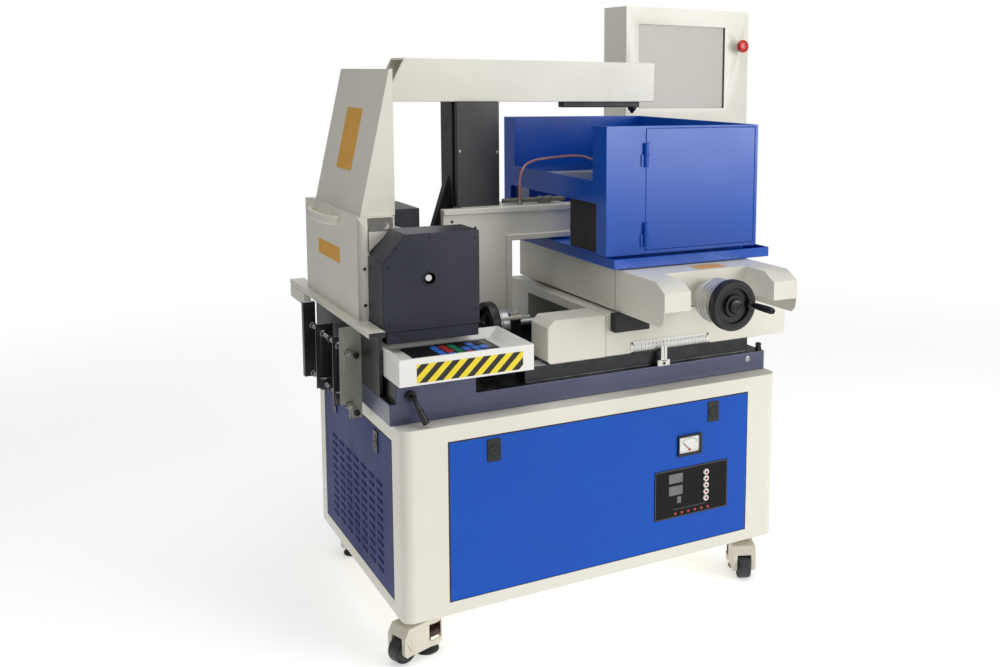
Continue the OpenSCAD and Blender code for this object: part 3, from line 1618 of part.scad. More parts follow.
// Bracket, beam and pole that carry the control box behind the cabinet
module box_arm() {
    y1 = pole_y + beam_w / 2;
    spigot_top = box_z + spigot_l - seat_gap;
    placed() color("#c9c7ba") {
        span([beam_x0 - beam_plate_over, cab_d, beam_z - beam_plate_h / 4],
            [beam_x0 + beam_w + beam_plate_over, cab_d + plate_t * 2, beam_z + beam_plate_h * 0.75]);
        span([beam_x0, cab_d + plate_t * 2, beam_z], [beam_x0 + beam_w, y1, beam_z + beam_w]);
        span([beam_x0 + beam_w, y1 - beam_w, beam_z], [pole_x + beam_w / 2, y1, beam_z + beam_w]);
        rod_z([pole_x, pole_y, beam_z + beam_w], box_z - boss_h - seat_gap - beam_z - beam_w, pole_r);
        rod_z([pole_x, pole_y, beam_z + beam_w], spigot_top - beam_z - beam_w, spigot_r);
    }
}

module estop_button() {
    r = estop_d / 2;
    y0 = box_y0 - estop_out;
    placed() color("#c4201c") {
        translate([estop_x, y0, estop_z]) rotate([-90, 0, 0]) rotate_extrude()
            polygon([[0, 0], [r * 0.5, plate_t * 0.2], [r * 0.82, plate_t * 0.8], [r, plate_t * 1.8],
                [r, mushroom_t * 0.7], [r * 0.8, mushroom_t], [estop_stem_r, mushroom_t],
                [estop_stem_r, estop_out + thick_t], [0, estop_out + thick_t]]);
    }
}

cabinet_frame();
front_panel();
left_panel();
rear_panels();
front_latch_left();
front_latch_right();
left_latch_front();
left_latch_rear();
display_bezel();
display_button_1();
display_button_2();
display_button_3();
display_button_4();
display_button_5();
meter_case();
meter_needle();
castor_housing_1();
castor_housing_2();
castor_housing_3();
castor_housing_4();
castor_wheel_1();
castor_wheel_2();
castor_wheel_3();
castor_wheel_4();
castor_feet();
bed();
drum_base();
drum_carriage();
gear_cover();
drum_motor();
drum();
side_bracket();
guard_lower();
guard_upper();
column_base();
column();
arm_slide();
upper_arm();
nozzle_bar();
upper_guide_wheel();
lower_guide_wheel();
wire_conduit();
coolant_hose();
x_slide();
x_end_cover();
x_handwheel();
y_slide();
y_cover();
y_handwheel();
y_screw();
tank();
port_curtain();
drip_tray();
tank_door();
work_table();
console_tray();
keypad();
control_box();
box_arm();
estop_button();
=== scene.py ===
"""Looks of a wire EDM machine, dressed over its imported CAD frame."""

import json
import math

import bmesh
import bpy
import numpy as np
from bpy.props import FloatProperty, FloatVectorProperty, PointerProperty
from mathutils import Matrix, Vector


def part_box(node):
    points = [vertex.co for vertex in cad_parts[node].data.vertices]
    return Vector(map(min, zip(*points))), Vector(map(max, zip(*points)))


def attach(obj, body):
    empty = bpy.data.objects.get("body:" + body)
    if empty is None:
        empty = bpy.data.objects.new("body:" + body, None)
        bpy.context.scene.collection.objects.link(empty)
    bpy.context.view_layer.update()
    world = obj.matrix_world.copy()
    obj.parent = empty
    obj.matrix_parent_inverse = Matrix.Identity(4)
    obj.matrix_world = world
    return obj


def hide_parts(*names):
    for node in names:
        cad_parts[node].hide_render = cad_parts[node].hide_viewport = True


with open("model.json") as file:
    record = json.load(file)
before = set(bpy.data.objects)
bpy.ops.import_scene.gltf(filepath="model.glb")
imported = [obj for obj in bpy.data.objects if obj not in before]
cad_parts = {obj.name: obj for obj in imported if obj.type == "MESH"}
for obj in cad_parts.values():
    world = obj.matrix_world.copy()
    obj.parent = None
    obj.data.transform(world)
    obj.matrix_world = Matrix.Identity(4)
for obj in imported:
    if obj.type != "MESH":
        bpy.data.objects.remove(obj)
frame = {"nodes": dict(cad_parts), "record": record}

bl_info = {
    "name": "Wire EDM machine",
    "version": (1, 0, 0),
    "blender": (4, 5, 0),
    "location": "3D View > Sidebar > Wire EDM",
    "description": "Builds the finished look of a wire EDM machine",
    "category": "Object",
}

# The cabinet's left front corner on the floor: places below are millimetres from it
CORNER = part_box("cabinet_frame")[0]
MM = 0.001


def linear(code):
    """Scene-linear colour of an sRGB hex value."""
    parts = [int(code[i : i + 2], 16) / 255 for i in (1, 3, 5)]
    return tuple(c / 12.92 if c <= 0.04045 else ((c + 0.055) / 1.055) ** 2.4 for c in parts)


def place(points):
    """Rows of millimetres from the cabinet's corner, as metres in the frame."""
    return np.asarray(points, float) * MM + np.array([CORNER.x, CORNER.y, 0.0])


def place_back(points):
    """Metres in the frame, as millimetres from the cabinet's corner."""
    return (np.asarray(points) - np.array([CORNER.x, CORNER.y, 0.0])) / MM


def linked(name, data):
    """A new object in the scene that shows data."""
    obj = bpy.data.objects.new(name, data)
    bpy.context.scene.collection.objects.link(obj)
    return obj


# Surfaces


class Shape:
    """Surfaces gathered for one mesh, each with the place of its material in the list."""

    def __init__(self):
        self.verts, self.faces, self.picks, self.count = [], [], [], 0

    def add(self, verts, faces, pick=0):
        """Takes in a surface, its faces numbered on from those already held."""
        verts = np.asarray(verts, float).reshape(-1, 3)
        self.verts.append(verts)
        self.faces += [[int(i) + self.count for i in f] for f in faces]
        self.picks += [pick] * len(faces)
        self.count += len(verts)
        return self


def grid_faces(rows, cols, loop=False):
    """Quads of a grid of rows x cols points; with loop the last column meets the first."""
    r, c = np.meshgrid(np.arange(rows - 1), np.arange(cols if loop else cols - 1), indexing="ij")
    d = (c + 1) % cols
    return np.stack([r * cols + c, r * cols + d, (r + 1) * cols + d, (r + 1) * cols + c], -1).reshape(-1, 4)


def basis(axis):
    """Two unit vectors square to axis and to each other."""
    axis = np.asarray(axis, float) / np.linalg.norm(axis)
    side = np.array([0.0, 0.0, 1.0]) if abs(axis[2]) < 0.9 else np.array([1.0, 0.0, 0.0])
    a = np.cross(side, axis)
    a /= np.linalg.norm(a)
    return axis, a, np.cross(axis, a)


def lathe(shape, origin, axis, profile, pick=0, steps=48, ripple=0.0, lobes=0):
    """Turned form: point(k, a) = origin + h_k axis + r_k (1 + ripple cos(lobes a)) (cos a u + sin a v)."""
    w, u, v = basis(axis)
    p = np.asarray(profile, float)
    a = np.linspace(0, 2 * math.pi, steps, endpoint=False)
    swell = 1 + ripple * np.cos(lobes * a)
    ring = np.cos(a)[:, None] * u + np.sin(a)[:, None] * v
    pts = np.asarray(origin, float) + p[:, 1, None, None] * w
    pts = pts + p[:, 0, None, None] * ring[None] * swell[None, :, None]
    return shape.add(pts, grid_faces(len(p), steps, True), pick)


def tube(shape, path, radius, pick=0, sides=16, steps=None):
    """Round bar along a path: each ring lies square to the path's direction, turned as little as can be."""
    p = np.asarray(path, float)
    if steps:
        d = np.r_[0, np.cumsum(np.linalg.norm(np.diff(p, axis=0), axis=1))]
        t = np.linspace(0, d[-1], steps)
        p = np.stack([np.interp(t, d, p[:, i]) for i in range(3)], 1)
    tan = np.gradient(p, axis=0)
    tan /= np.linalg.norm(tan, axis=1)[:, None]
    u = basis(tan[0])[1]
    rows = []
    for k in range(len(p)):
        u = u - tan[k] * np.dot(u, tan[k])
        u /= np.linalg.norm(u)
        rows.append(u)
    u = np.array(rows)
    v = np.cross(tan, u)
    a = np.linspace(0, 2 * math.pi, sides, endpoint=False)
    ring = np.cos(a)[None, :, None] * u[:, None] + np.sin(a)[None, :, None] * v[:, None]
    r = np.broadcast_to(np.asarray(radius, float), (len(p),))
    r = np.r_[0, r, 0]
    c = np.concatenate([p[:1], p, p[-1:]])
    ring = np.concatenate([ring[:1], ring, ring[-1:]])
    return shape.add(c[:, None] + r[:, None, None] * ring, grid_faces(len(c), sides, True), pick)


def bent(points, radius, steps=6):
    """A broken line with each corner turned on an arc of that radius, as a curve of Bezier form."""
    p = np.asarray(points, float)
    out = [p[0]]
    for a, b, c in zip(p[:-2], p[1:-1], p[2:]):
        u, v = (a - b) / np.linalg.norm(a - b), (c - b) / np.linalg.norm(c - b)
        r = min(radius, np.linalg.norm(a - b) * 0.49, np.linalg.norm(c - b) * 0.49)
        t = np.linspace(0, 1, steps)[:, None]
        out += list((1 - t) ** 2 * (b + u * r) + 2 * t * (1 - t) * b + t**2 * (b + v * r))
    return np.array(out + [p[-1]])


def block(shape, lo, hi, radius, pick=0, steps=3):
    """Box with round edges: each point of a box's grid is pulled to radius from the box shrunk by radius."""
    lo, hi = np.asarray(lo, float), np.asarray(hi, float)
    radius = min(radius, float((hi - lo).min()) * 0.499)
    a = np.tan(np.linspace(0, math.pi / 4, steps)) * radius
    lines = [np.r_[lo[i] + radius - a[::-1], hi[i] - radius + a] for i in range(3)]
    for i in range(3):
        j, k = (i + 1) % 3, (i + 2) % 3
        b, c = np.meshgrid(lines[j], lines[k], indexing="ij")
        for side in (lo[i], hi[i]):
            pts = np.zeros(b.shape + (3,))
            pts[..., i], pts[..., j], pts[..., k] = side, b, c
            core = np.clip(pts, lo + radius, hi - radius)
            away = pts - core
            away /= np.maximum(np.linalg.norm(away, axis=-1, keepdims=True), 1e-9)
            shape.add(core + radius * away, grid_faces(*b.shape), pick)
    return shape


def raised(flat, axis, height):
    """Points of a plane lifted off it: x u + y v + height w, where axis holds w, u and v."""
    w, u, v = (np.array(x, float) for x in axis)
    return flat[..., :1] * u + flat[..., 1:2] * v + height * w


def slab(shape, outline, axis, low, high, edge, pick=0, steps=3):
    """Plate with a round top edge: a closed outline carried up axis, drawn in as its edge turns over."""
    o = np.asarray(outline, float)
    ahead, back = np.roll(o, -1, 0) - o, o - np.roll(o, 1, 0)
    n = [np.stack([d[:, 1], -d[:, 0]], 1) / np.maximum(np.linalg.norm(d, axis=1)[:, None], 1e-9)
         for d in (ahead, back)]
    n = (n[0] + n[1]) / np.maximum(1 + (n[0] * n[1]).sum(1), 0.3)[:, None]
    if ((o[:, 0] * np.roll(o[:, 1], -1)) - (np.roll(o[:, 0], -1) * o[:, 1])).sum() < 0:
        n = -n
    t = np.linspace(0, math.pi / 2, steps)
    inset = np.r_[0, edge * (1 - np.cos(t))]
    height = np.r_[low, high - edge + edge * np.sin(t)]
    pts = raised(o[None] - inset[:, None, None] * n[None], axis, height[:, None, None])
    count = len(o)
    faces = [list(f) for f in grid_faces(len(height), count, True)]
    faces += [list(range(count))[::-1], [(len(height) - 1) * count + i for i in range(count)]]
    return shape.add(pts, faces, pick)


def round_rect(x0, y0, x1, y1, r, steps=4):
    """Outline of a rectangle whose corners are quarter circles."""
    a = np.linspace(0, math.pi / 2, steps)
    spots = [(x1 - r, y0 + r, -0.5), (x1 - r, y1 - r, 0), (x0 + r, y1 - r, 0.5), (x0 + r, y0 + r, 1)]
    return np.concatenate([np.stack([cx + r * np.cos(a + q * math.pi), cy + r * np.sin(a + q * math.pi)], 1)
                           for cx, cy, q in spots])


# Points closer than this, in metres, become one, and faces that meet at less than this angle shade as one
MERGE, SOFT_EDGE = 2e-6, 32
# The same angle for forms that come from the CAD
CAD_EDGE = 40
# Edges of the CAD's form sharper than this many degrees are rounded
SHARP = 30
# Two faces whose normals' product is above this lie in one flat area
FLAT = 0.99996
# Directions, then the planes that flat pieces lie in: the way they face, and their own x and y
X, Y, Z, FORE = (1, 0, 0), (0, 1, 0), (0, 0, 1), (0, -1, 0)
UP, FRONT, LEFT = (Z, X, Y), (FORE, X, Z), ((-1, 0, 0), FORE, Z)


def coat_with(mesh, materials):
    """Gives the mesh these materials and no others."""
    mesh.materials.clear()
    for m in materials:
        mesh.materials.append(m)


def build(shape, name, body, materials, replaces=(), angle=SOFT_EDGE, tidy=True):
    """One object from a shape in millimetres: doubles merged, faces turned outward, riding on its body."""
    mesh = bpy.data.meshes.new(name)
    verts = place(np.concatenate(shape.verts))
    mesh.from_pydata(verts.tolist(), [], shape.faces)
    coat_with(mesh, materials)
    mesh.polygons.foreach_set("material_index", shape.picks)
    if tidy:
        bm = bmesh.new()
        bm.from_mesh(mesh)
        bmesh.ops.remove_doubles(bm, verts=bm.verts, dist=MERGE)
        bmesh.ops.recalc_face_normals(bm, faces=bm.faces)
        bm.to_mesh(mesh)
        bm.free()
    return finish_object(mesh, name, body, replaces, angle)


def stand_in(shape, node, materials):
    """The finished form of a CAD node, on its body, shown in its place."""
    return build(shape, node + "_finished", body_named(node), materials, (node,))


def trim(shape, name, node, materials, tidy=True):
    """A piece that the CAD doesn't have, riding with node."""
    return build(shape, name, body_named(node), materials, tidy=tidy)


def level_faces(obj):
    """Shades flat faces flat: a corner's normal is the mean of its faces' normals, weighed by their areas."""
    flat = obj.modifiers.new("level_faces", "WEIGHTED_NORMAL")
    flat.keep_sharp, flat.weight = True, 100


def finish_object(mesh, name, body, replaces=(), angle=SOFT_EDGE, width=0):
    """The mesh as a piece on its body, smooth wherever faces meet at less than angle degrees."""
    mesh.polygons.foreach_set("use_smooth", [True] * len(mesh.polygons))
    mesh.set_sharp_from_angle(angle=math.radians(angle))
    obj = linked(name, mesh)
    if not width:
        level_faces(obj)
    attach(obj, body)
    if replaces:
        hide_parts(*replaces)
    return obj


def body_named(node):
    """The body of the record that holds the node."""
    return next(b for b, nodes in frame["record"]["behaviour"]["bodies"].items() if node in nodes)


def framed(shape, outer, hole, axis, low, high, edge, pick=0):
    """Plate with an opening: the outline climbs, turns over, runs in to the opening and goes down it."""
    o, h = np.asarray(outer, float), np.asarray(hole, float)
    d = o.mean(0) - o
    d /= np.linalg.norm(d, axis=1)[:, None]
    rings = np.stack([o, o, o + 0.3 * edge * d, o + edge * d, h - 0.7 * edge * d, h, h, o])
    height = np.array([low, high - edge, high - 0.3 * edge, high, high, high - 0.7 * edge, low, low])
    return shape.add(raised(rings, axis, height[:, None, None]), grid_faces(len(height), len(o), True), pick)


def oval(cx, cy, w, h, power=2.0, steps=48):
    """Outline between an ellipse (power 2) and a rectangle: |x / a| ** power + |y / b| ** power = 1."""
    a = np.linspace(0, 2 * math.pi, steps, endpoint=False)
    return np.stack([mid + size / 2 * np.sign(t) * abs(t) ** (2 / power)
                     for mid, size, t in ((cx, w, np.cos(a)), (cy, h, np.sin(a)))], 1)


def boxes(shape, pts, pick=0):
    """Six-sided boxes: rows of eight corners, four round the foot and the same four at the top."""
    box = np.array([[3, 2, 1, 0], [4, 5, 6, 7], [0, 1, 5, 4], [1, 2, 6, 5], [2, 3, 7, 6], [3, 0, 4, 7]])
    return shape.add(pts, (np.arange(len(pts))[:, None, None] * 8 + box).reshape(-1, 4), pick)


def plaque(shape, spots, axis, low, high, pick=0):
    """Thin rectangular marks: rows of x0, y0, x1, y1 in the plane of axis, standing from low to high."""
    s = np.asarray(spots, float)
    flat = np.stack([s[:, [0, 1]], s[:, [2, 1]], s[:, [2, 3]], s[:, [0, 3]]], 1)
    return boxes(shape, np.concatenate([raised(flat, axis, low), raised(flat, axis, high)], 1), pick)


# The table's screws travel this many mm a turn
LEAD = 4


def lead_screw(shape, origin, axis, start, end):
    """Screw along axis from start to a chamfered end: radius = 7.7 + 0.3 sin(2 pi x / LEAD)."""
    x = np.arange(start, end, 1.0)
    lathe(shape, origin, axis, np.stack([7.7 + 0.3 * np.sin(2 * math.pi * x / LEAD), x], 1), 1, 24)
    lathe(shape, origin, axis, [(7.7, end), (7, end + 2), (0, end + 2)], 1, 24)


def screws(shape, spots, axis, r, h, pick=0):
    """Socket cap screws: a turned head with a rounded rim and a sunken six-sided socket."""
    for spot in spots:
        lathe(shape, spot, axis, [(0, 0), (r, 0), (r, h * 0.75), (r * 0.88, h), (r * 0.55, h)], pick, 24)
        lathe(shape, spot, axis, [(r * 0.55, h), (r * 0.5, h * 0.3), (0, h * 0.3)], pick, 24, 0.06, 6)
    return shape


def smooth(points, steps):
    """Catmull-Rom curve: each stretch is the cubic that leaves its points along their neighbours' chord."""
    p = np.asarray(points, float)
    q = np.concatenate([[2 * p[0] - p[1]], p, [2 * p[-1] - p[-2]]])
    t = np.linspace(0, len(p) - 1, steps)
    i = np.minimum(t.astype(int), len(p) - 2)
    t = (t - i)[:, None]
    a, b, c, d = q[i], q[i + 1], q[i + 2], q[i + 3]
    return 0.5 * (2 * b + (c - a) * t + (2 * a - 5 * b + 4 * c - d) * t**2 + (3 * b - a - 3 * c + d) * t**3)


def numerals(shape, words, spots, size, axis, high, pick=0):
    """Plain numbers laid flat in the plane of axis, each middled on its spot."""
    for word, spot in zip(words, spots):
        curve = bpy.data.curves.new("numeral", "FONT")
        curve.body, curve.size, curve.resolution_u = word, size, 2
        curve.align_x = curve.align_y = "CENTER"
        obj = linked("numeral", curve)
        mesh = bpy.data.meshes.new_from_object(obj.evaluated_get(bpy.context.evaluated_depsgraph_get()))
        flat = np.zeros(len(mesh.vertices) * 3)
        mesh.vertices.foreach_get("co", flat)
        pts = raised(flat.reshape(-1, 3)[:, :2] + spot, axis, high)
        shape.add(pts, [list(p.vertices) for p in mesh.polygons], pick)
        bpy.data.objects.remove(obj)
        bpy.data.curves.remove(curve)
        bpy.data.meshes.remove(mesh)


def join_flats(bm):
    """Joins the triangles of each flat area that has no hole: there its corners - edges + faces come to 1."""
    bm.normal_update()
    seen, areas = set(), []
    for first in list(bm.faces):
        if first in seen:
            continue
        seen.add(first)
        area, stack = [], [first]
        while stack:
            face = stack.pop()
            area.append(face)
            for edge in face.edges:
                for other in edge.link_faces:
                    if other not in seen and other.normal.dot(first.normal) > FLAT:
                        seen.add(other)
                        stack.append(other)
        corners = {v for f in area for v in f.verts}
        edges = {e for f in area for e in f.edges}
        if len(area) > 1 and len(corners) - len(edges) + len(area) == 1:
            areas.append(area)
    for area in areas:
        bmesh.ops.dissolve_faces(bm, faces=area)


def dress(node, width, materials, rule=None, steps=2):
    """The CAD node's form with its sharp edges rounded by width mm; rule picks a material for each face."""
    mesh = frame["nodes"][node].data.copy()
    mesh.name = node + "_finished"
    bm = bmesh.new()
    bm.from_mesh(mesh)
    bmesh.ops.remove_doubles(bm, verts=bm.verts, dist=MERGE)
    join_flats(bm)
    bm.to_mesh(mesh)
    bm.free()
    coat_with(mesh, materials)
    count = len(mesh.polygons)
    spots, turns = np.zeros(count * 3), np.zeros(count * 3)
    mesh.polygons.foreach_get("center", spots)
    mesh.polygons.foreach_get("normal", turns)
    picks = np.zeros(count, int)
    if rule:
        picks = rule(place_back(spots.reshape(-1, 3)), turns.reshape(-1, 3)).astype(int)
    mesh.polygons.foreach_set("material_index", picks)
    obj = finish_object(mesh, mesh.name, body_named(node), (node,), CAD_EDGE, width)
    if width:
        edge = obj.modifiers.new("rounded_edges", "BEVEL")
        edge.width, edge.segments, edge.limit_method = width * MM, steps, "ANGLE"
        edge.angle_limit, edge.use_clamp_overlap = math.radians(SHARP), False
        edge.miter_outer = "MITER_ARC"
        level_faces(obj)
    return obj


def within(spots, *spans):
    """Which rows of spots lie inside every span, given as axis, low and high."""
    return np.all([(spots[:, i] > low) & (spots[:, i] < high) for i, low, high in spans], axis=0)


# Materials


def add(tree, kind, inputs=None, **settings):
    """A node with its settings; an input's value is a number, a colour or another node's socket."""
    made = tree.nodes.new(kind)
    for key, value in settings.items():
        setattr(made, key, value)
    for key, value in (inputs or {}).items():
        if isinstance(value, bpy.types.NodeSocket):
            tree.links.new(value, made.inputs[key])
        else:
            made.inputs[key].default_value = value
    return made


def bare_tree(owner):
    """The emptied node tree of a material or world."""
    owner.use_nodes = True
    owner.node_tree.nodes.clear()
    return owner.node_tree


def rgba(colour):
    """A colour with full alpha."""
    return (*colour[:3], 1.0)


def material(name, colour, second, rough, spread, grain, depth, drift, metallic=0.0, amount=0.5, coat=0.0,
             stretch=(1, 1, 1), detail=3.0, extra=None, **sockets):
    """A finish whose colour drifts to second, whose roughness wanders by spread and whose skin has a grain.

    grain, depth and drift are millimetres: the size and height of the skin's bumps, and of its clouds."""
    mat = bpy.data.materials.new(name)
    tree = bare_tree(mat)
    where = add(tree, "ShaderNodeTexCoord").outputs["Object"]
    pulled = add(tree, "ShaderNodeMapping", {"Vector": where, "Scale": stretch}).outputs["Vector"]
    cloud = add(tree, "ShaderNodeTexNoise",
                {"Vector": where, "Scale": 1000 / drift, "Detail": 4.0, "Roughness": 0.6})
    grit = add(tree, "ShaderNodeTexNoise",
               {"Vector": pulled, "Scale": 1000 / grain, "Detail": detail, "Roughness": 0.55})
    step = add(tree, "ShaderNodeMapRange", {"Value": cloud.outputs["Fac"], "From Min": 0.35, "From Max": 0.65,
                                            "To Min": 0.0, "To Max": amount})
    tint = add(tree, "ShaderNodeMix", {"Factor": step.outputs["Result"], 6: rgba(colour),
                                       7: rgba(second)}, data_type="RGBA")
    wander = add(tree, "ShaderNodeMapRange", {"Value": cloud.outputs["Fac"], "From Min": 0.3, "From Max": 0.7,
                                              "To Min": rough - spread, "To Max": rough + spread})
    bump = add(tree, "ShaderNodeBump",
               {"Height": grit.outputs["Fac"], "Strength": 1.0, "Distance": depth * MM})
    paint = tint.outputs[2]
    if extra:
        paint = extra(tree, where, paint)
    shader = add(tree, "ShaderNodeBsdfPrincipled", {"Base Color": paint,
                                                    "Roughness": wander.outputs["Result"],
                                                    "Metallic": metallic, "Normal": bump.outputs["Normal"],
                                                    "Coat Weight": coat,
                                                    **{SOCKETS[k]: v for k, v in sockets.items()}})
    add(tree, "ShaderNodeOutputMaterial", {"Surface": shader.outputs["BSDF"]})
    return mat


# Hazard tape: the bands' pitch along the front, and where the first one starts, in pitches
HAZARD_PITCH = 34
HAZARD_START = (43 - 605 + CORNER.x * 1000) / HAZARD_PITCH % 1


def hazard_bands(tree, where, paint):
    """Black where the fraction of (x - z) / pitch - start is under a half, else the paint."""
    slope = (1000 / HAZARD_PITCH, 0, -1000 / HAZARD_PITCH)
    lean = add(tree, "ShaderNodeVectorMath", {0: where, 1: slope}, operation="DOT_PRODUCT")
    turn = add(tree, "ShaderNodeMath", {0: lean.outputs["Value"], 1: HAZARD_START}, operation="SUBTRACT")
    part = add(tree, "ShaderNodeMath", {0: turn.outputs["Value"]}, operation="FRACT").outputs["Value"]
    dark = add(tree, "ShaderNodeMath", {0: part, 1: 0.5}, operation="LESS_THAN").outputs["Value"]
    black = rgba(linear("#1d1c16"))
    return add(tree, "ShaderNodeMix", {"Factor": dark, 6: paint, 7: black}, data_type="RGBA").outputs[2]


# Each finish: its two colours (an sRGB value, or the name of one that the panel offers), its roughness and
# how far that wanders, the skin's grain, the height of its bumps and the size of its clouds in mm, then the
# rest by name
FINISHES = {
    # Two-pack enamel sprayed on steel: satin, with a faint orange peel and a soft clear gloss over it
    "sprayed_cream_enamel": ("cream", "#d9d6c6", 0.36, 0.05, 2.2, 0.012, 260,
                             dict(coat=0.25, coat_roughness=0.2)),
    # The same enamel in blue: deeper colour, so the sky of the studio shows more in it
    "sprayed_blue_enamel": ("blue", "#084aad", 0.32, 0.06, 2.2, 0.012, 240, dict(specular=0.25)),
    # The left panel's blue, made darker as painted shade, and flatter: little of the room shows in it
    "painted_shade_blue_enamel": ("#08266e", "#0a2058", 0.45, 0.06, 2.2, 0.012, 240, dict(specular=0.12)),
    # The tank's stoved blue: a smooth gloss that carries the softbox along its upper edge
    "glossy_blue_enamel": ("blue", "#084aad", 0.24, 0.05, 2.2, 0.012, 240, dict(specular=0.5)),
    # Textured powder coat: fine wrinkles of about a millimetre that break up every highlight
    "navy_powder_coat": ("navy", "#1f2236", 0.38, 0.06, 1.1, 0.12, 90, dict(detail=5)),
    # Filled and brushed enamel on cast iron: low waves under a glossy dark coat, rubbed here and there
    "enamelled_casting": (
        "casting", "#4a4f70", 0.3, 0.08, 14, 0.25, 260, dict(amount=0.9, coat=0.3, coat_roughness=0.25)),
    # Brushed black enamel: satin, a little thicker in the corners
    "black_enamel": ("#1b1c1f", "#26282c", 0.36, 0.08, 3, 0.04, 120, dict(coat=0.2, coat_roughness=0.3)),
    # Ground and wiped with oil: fine lines along y, and a roughness that wanders with the oil
    "ground_steel": ("#a7a9ac", "#83868a", 0.27, 0.1, 0.8, 0.02, 60,
                     dict(metallic=1.0, stretch=(1, 0.06, 1))),
    # Bright zinc: pale metal clouded by its passivation
    "zinc_plated_steel": ("#b9bcbe", "#8f9290", 0.32, 0.08, 1.5, 0.015, 30, dict(metallic=1.0)),
    # Bare grey iron with a thin grey wash: sandy skin, about a millimetre in grain
    "grey_iron_casting": ("#a2a595", "#84877a", 0.5, 0.1, 1.2, 0.1, 50, {}),
    # Plastic from an eroded mould: an even fine grain that keeps it matt
    "black_moulded_plastic": ("#121214", "#19191c", 0.42, 0.06, 0.9, 0.03, 60, dict(ior=1.49)),
    # White plastic, smoother than the black: soft broad highlights
    "white_moulded_plastic": ("#ecebe6", "#dddcd5", 0.3, 0.05, 1.5, 0.01, 80, dict(ior=1.49)),
    # Ivory nylon: waxy, and a little uneven in tone
    "moulded_nylon": ("#dcd6c6", "#c9c2b0", 0.42, 0.08, 1.0, 0.03, 40, dict(ior=1.53)),
    # Worn tread: dull, with patches of brown dust
    "black_nylon_tread": ("#26262a", "#3a3836", 0.5, 0.1, 1.2, 0.05, 18, dict(ior=1.53)),
    # Rubber: hardly any highlight, so that gaps and seals read as dark; in the cabinet's gaps and the
    # louvres' mouths it is painted shade
    "black_rubber_sheet": ("#161617", "#222224", 0.62, 0.08, 1.4, 0.05, 60, dict(ior=1.52)),
    # Glossy signal red: one crisp highlight on the button's dome
    "red_moulded_plastic": ("#c81e18", "#b3150f", 0.28, 0.05, 1.2, 0.01, 40, dict(coat=0.3, ior=1.49)),
    # Blank sticker plate, printed in one colour
    "amber_plate": ("#e8a91e", "#dd9c14", 0.36, 0.05, 2, 0.01, 50, {}),
    # Dark brown phenolic: dull, so that the teeth read by their shade
    "brown_moulded_thumbwheel": ("#40231c", "#2e1a15", 0.5, 0.1, 1.2, 0.05, 20, dict(ior=1.49)),
    # Stoved wrinkle enamel: millimetre creases that sparkle where the light grazes them
    "wrinkled_black_enamel": ("#212327", "#2b2d31", 0.38, 0.1, 2.4, 0.24, 90, dict(detail=5)),
    # Black enamel under a film of machine oil: streaks of shine along the ways
    "oily_black_casting": ("#0c0d10", "#1b1d26", 0.3, 0.16, 6, 0.12, 45,
                           dict(amount=1.0, stretch=(0.3, 1, 1))),
    # Stoved white: cleaner and brighter than the cream
    "white_stoved_enamel": ("#f1f0ea", "#e6e4dc", 0.34, 0.05, 2.2, 0.01, 160,
                            dict(coat=0.2, coat_roughness=0.2)),
    # Turned aluminium, satin anodised: fine rings round the axis of the collar
    "satin_aluminium": ("#cfcec8", "#bab9b3", 0.5, 0.06, 0.7, 0.012, 40,
                        dict(metallic=0.8, stretch=(0.1, 1, 0.1))),
    # Dark drawn wire wound turn by turn on the drum, drawn coarser than its 0.18 mm so that the turns show
    "wound_molybdenum_wire": (
        "#6b6a66", "#565552", 0.34, 0.08, 0.6, 0.03, 30, dict(metallic=1.0, stretch=(0.2, 1, 0.2))),
    # Dark screen under glass: warm grey with the room's reflection over it
    "touch_screen_glass": ("#857b6e", "#93897b", 0.2, 0.03, 6, 0.001, 300,
                           dict(coat=0.6, coat_roughness=0.12)),
    # Galvanised coil: dull grey metal with spots of spangle
    "galvanised_conduit": ("#8a8a80", "#6c6c64", 0.46, 0.1, 1.4, 0.05, 14, dict(metallic=0.7)),
    # Clear red-tinted vinyl: light carries a little way through the wall
    "rosy_vinyl_hose": ("#c98f8c", "#a8575c", 0.22, 0.05, 2, 0.01, 35, dict(ior=1.53, transmission=0.25)),
    # Unlit red lens: dark, with a bright edge
    "red_lamp": ("#c2392b", "#8f1f18", 0.25, 0.05, 0.8, 0.005, 9, {}),
    # Unlit display window behind grey film
    "grey_lens": ("#6f726f", "#5b5e5b", 0.24, 0.05, 0.8, 0.004, 25, {}),
    # Back-printed polyester film over the display: deep black under a smooth skin
    "black_printed_film": ("#050506", "#08080a", 0.28, 0.04, 2, 0.004, 120, dict(specular=0.2)),
    # Dark red cap in satin plastic
    "dark_red_button": ("#8e2436", "#7a1c2c", 0.35, 0.05, 0.8, 0.01, 8, {}),
    # Silicone keys: soft skin, colour a little paler where fingers rub
    "blue_key": ("#2c6fd6", "#4b8fe6", 0.32, 0.05, 0.8, 0.01, 12, {}),
    # The same silicone in red
    "red_key": ("#c0333b", "#a82830", 0.32, 0.05, 0.8, 0.01, 12, {}),
    # The same silicone in green
    "green_key": ("#2a8a5c", "#1f7550", 0.32, 0.05, 0.8, 0.01, 12, {}),
    # Printed tape: yellow and black bands at 45 degrees
    "hazard_band": ("#f4dd2e", "#ecd21f", 0.36, 0.05, 1.6, 0.01, 70, dict(extra=hazard_bands)),
}
SOCKETS = {"coat_roughness": "Coat Roughness", "specular": "Specular IOR Level",
           "transmission": "Transmission Weight", "ior": "IOR"}


def finish(name):
    """The named finish, made from its row the first time that it is asked for."""
    known = bpy.data.materials.get(name)
    if known:
        return known
    colour, second, *numbers, rest = FINISHES[name]
    colour = linear(colour) if colour.startswith("#") else getattr(bpy.context.scene.edm_colours, colour)
    return material(name, colour, linear(second), *numbers, **rest)


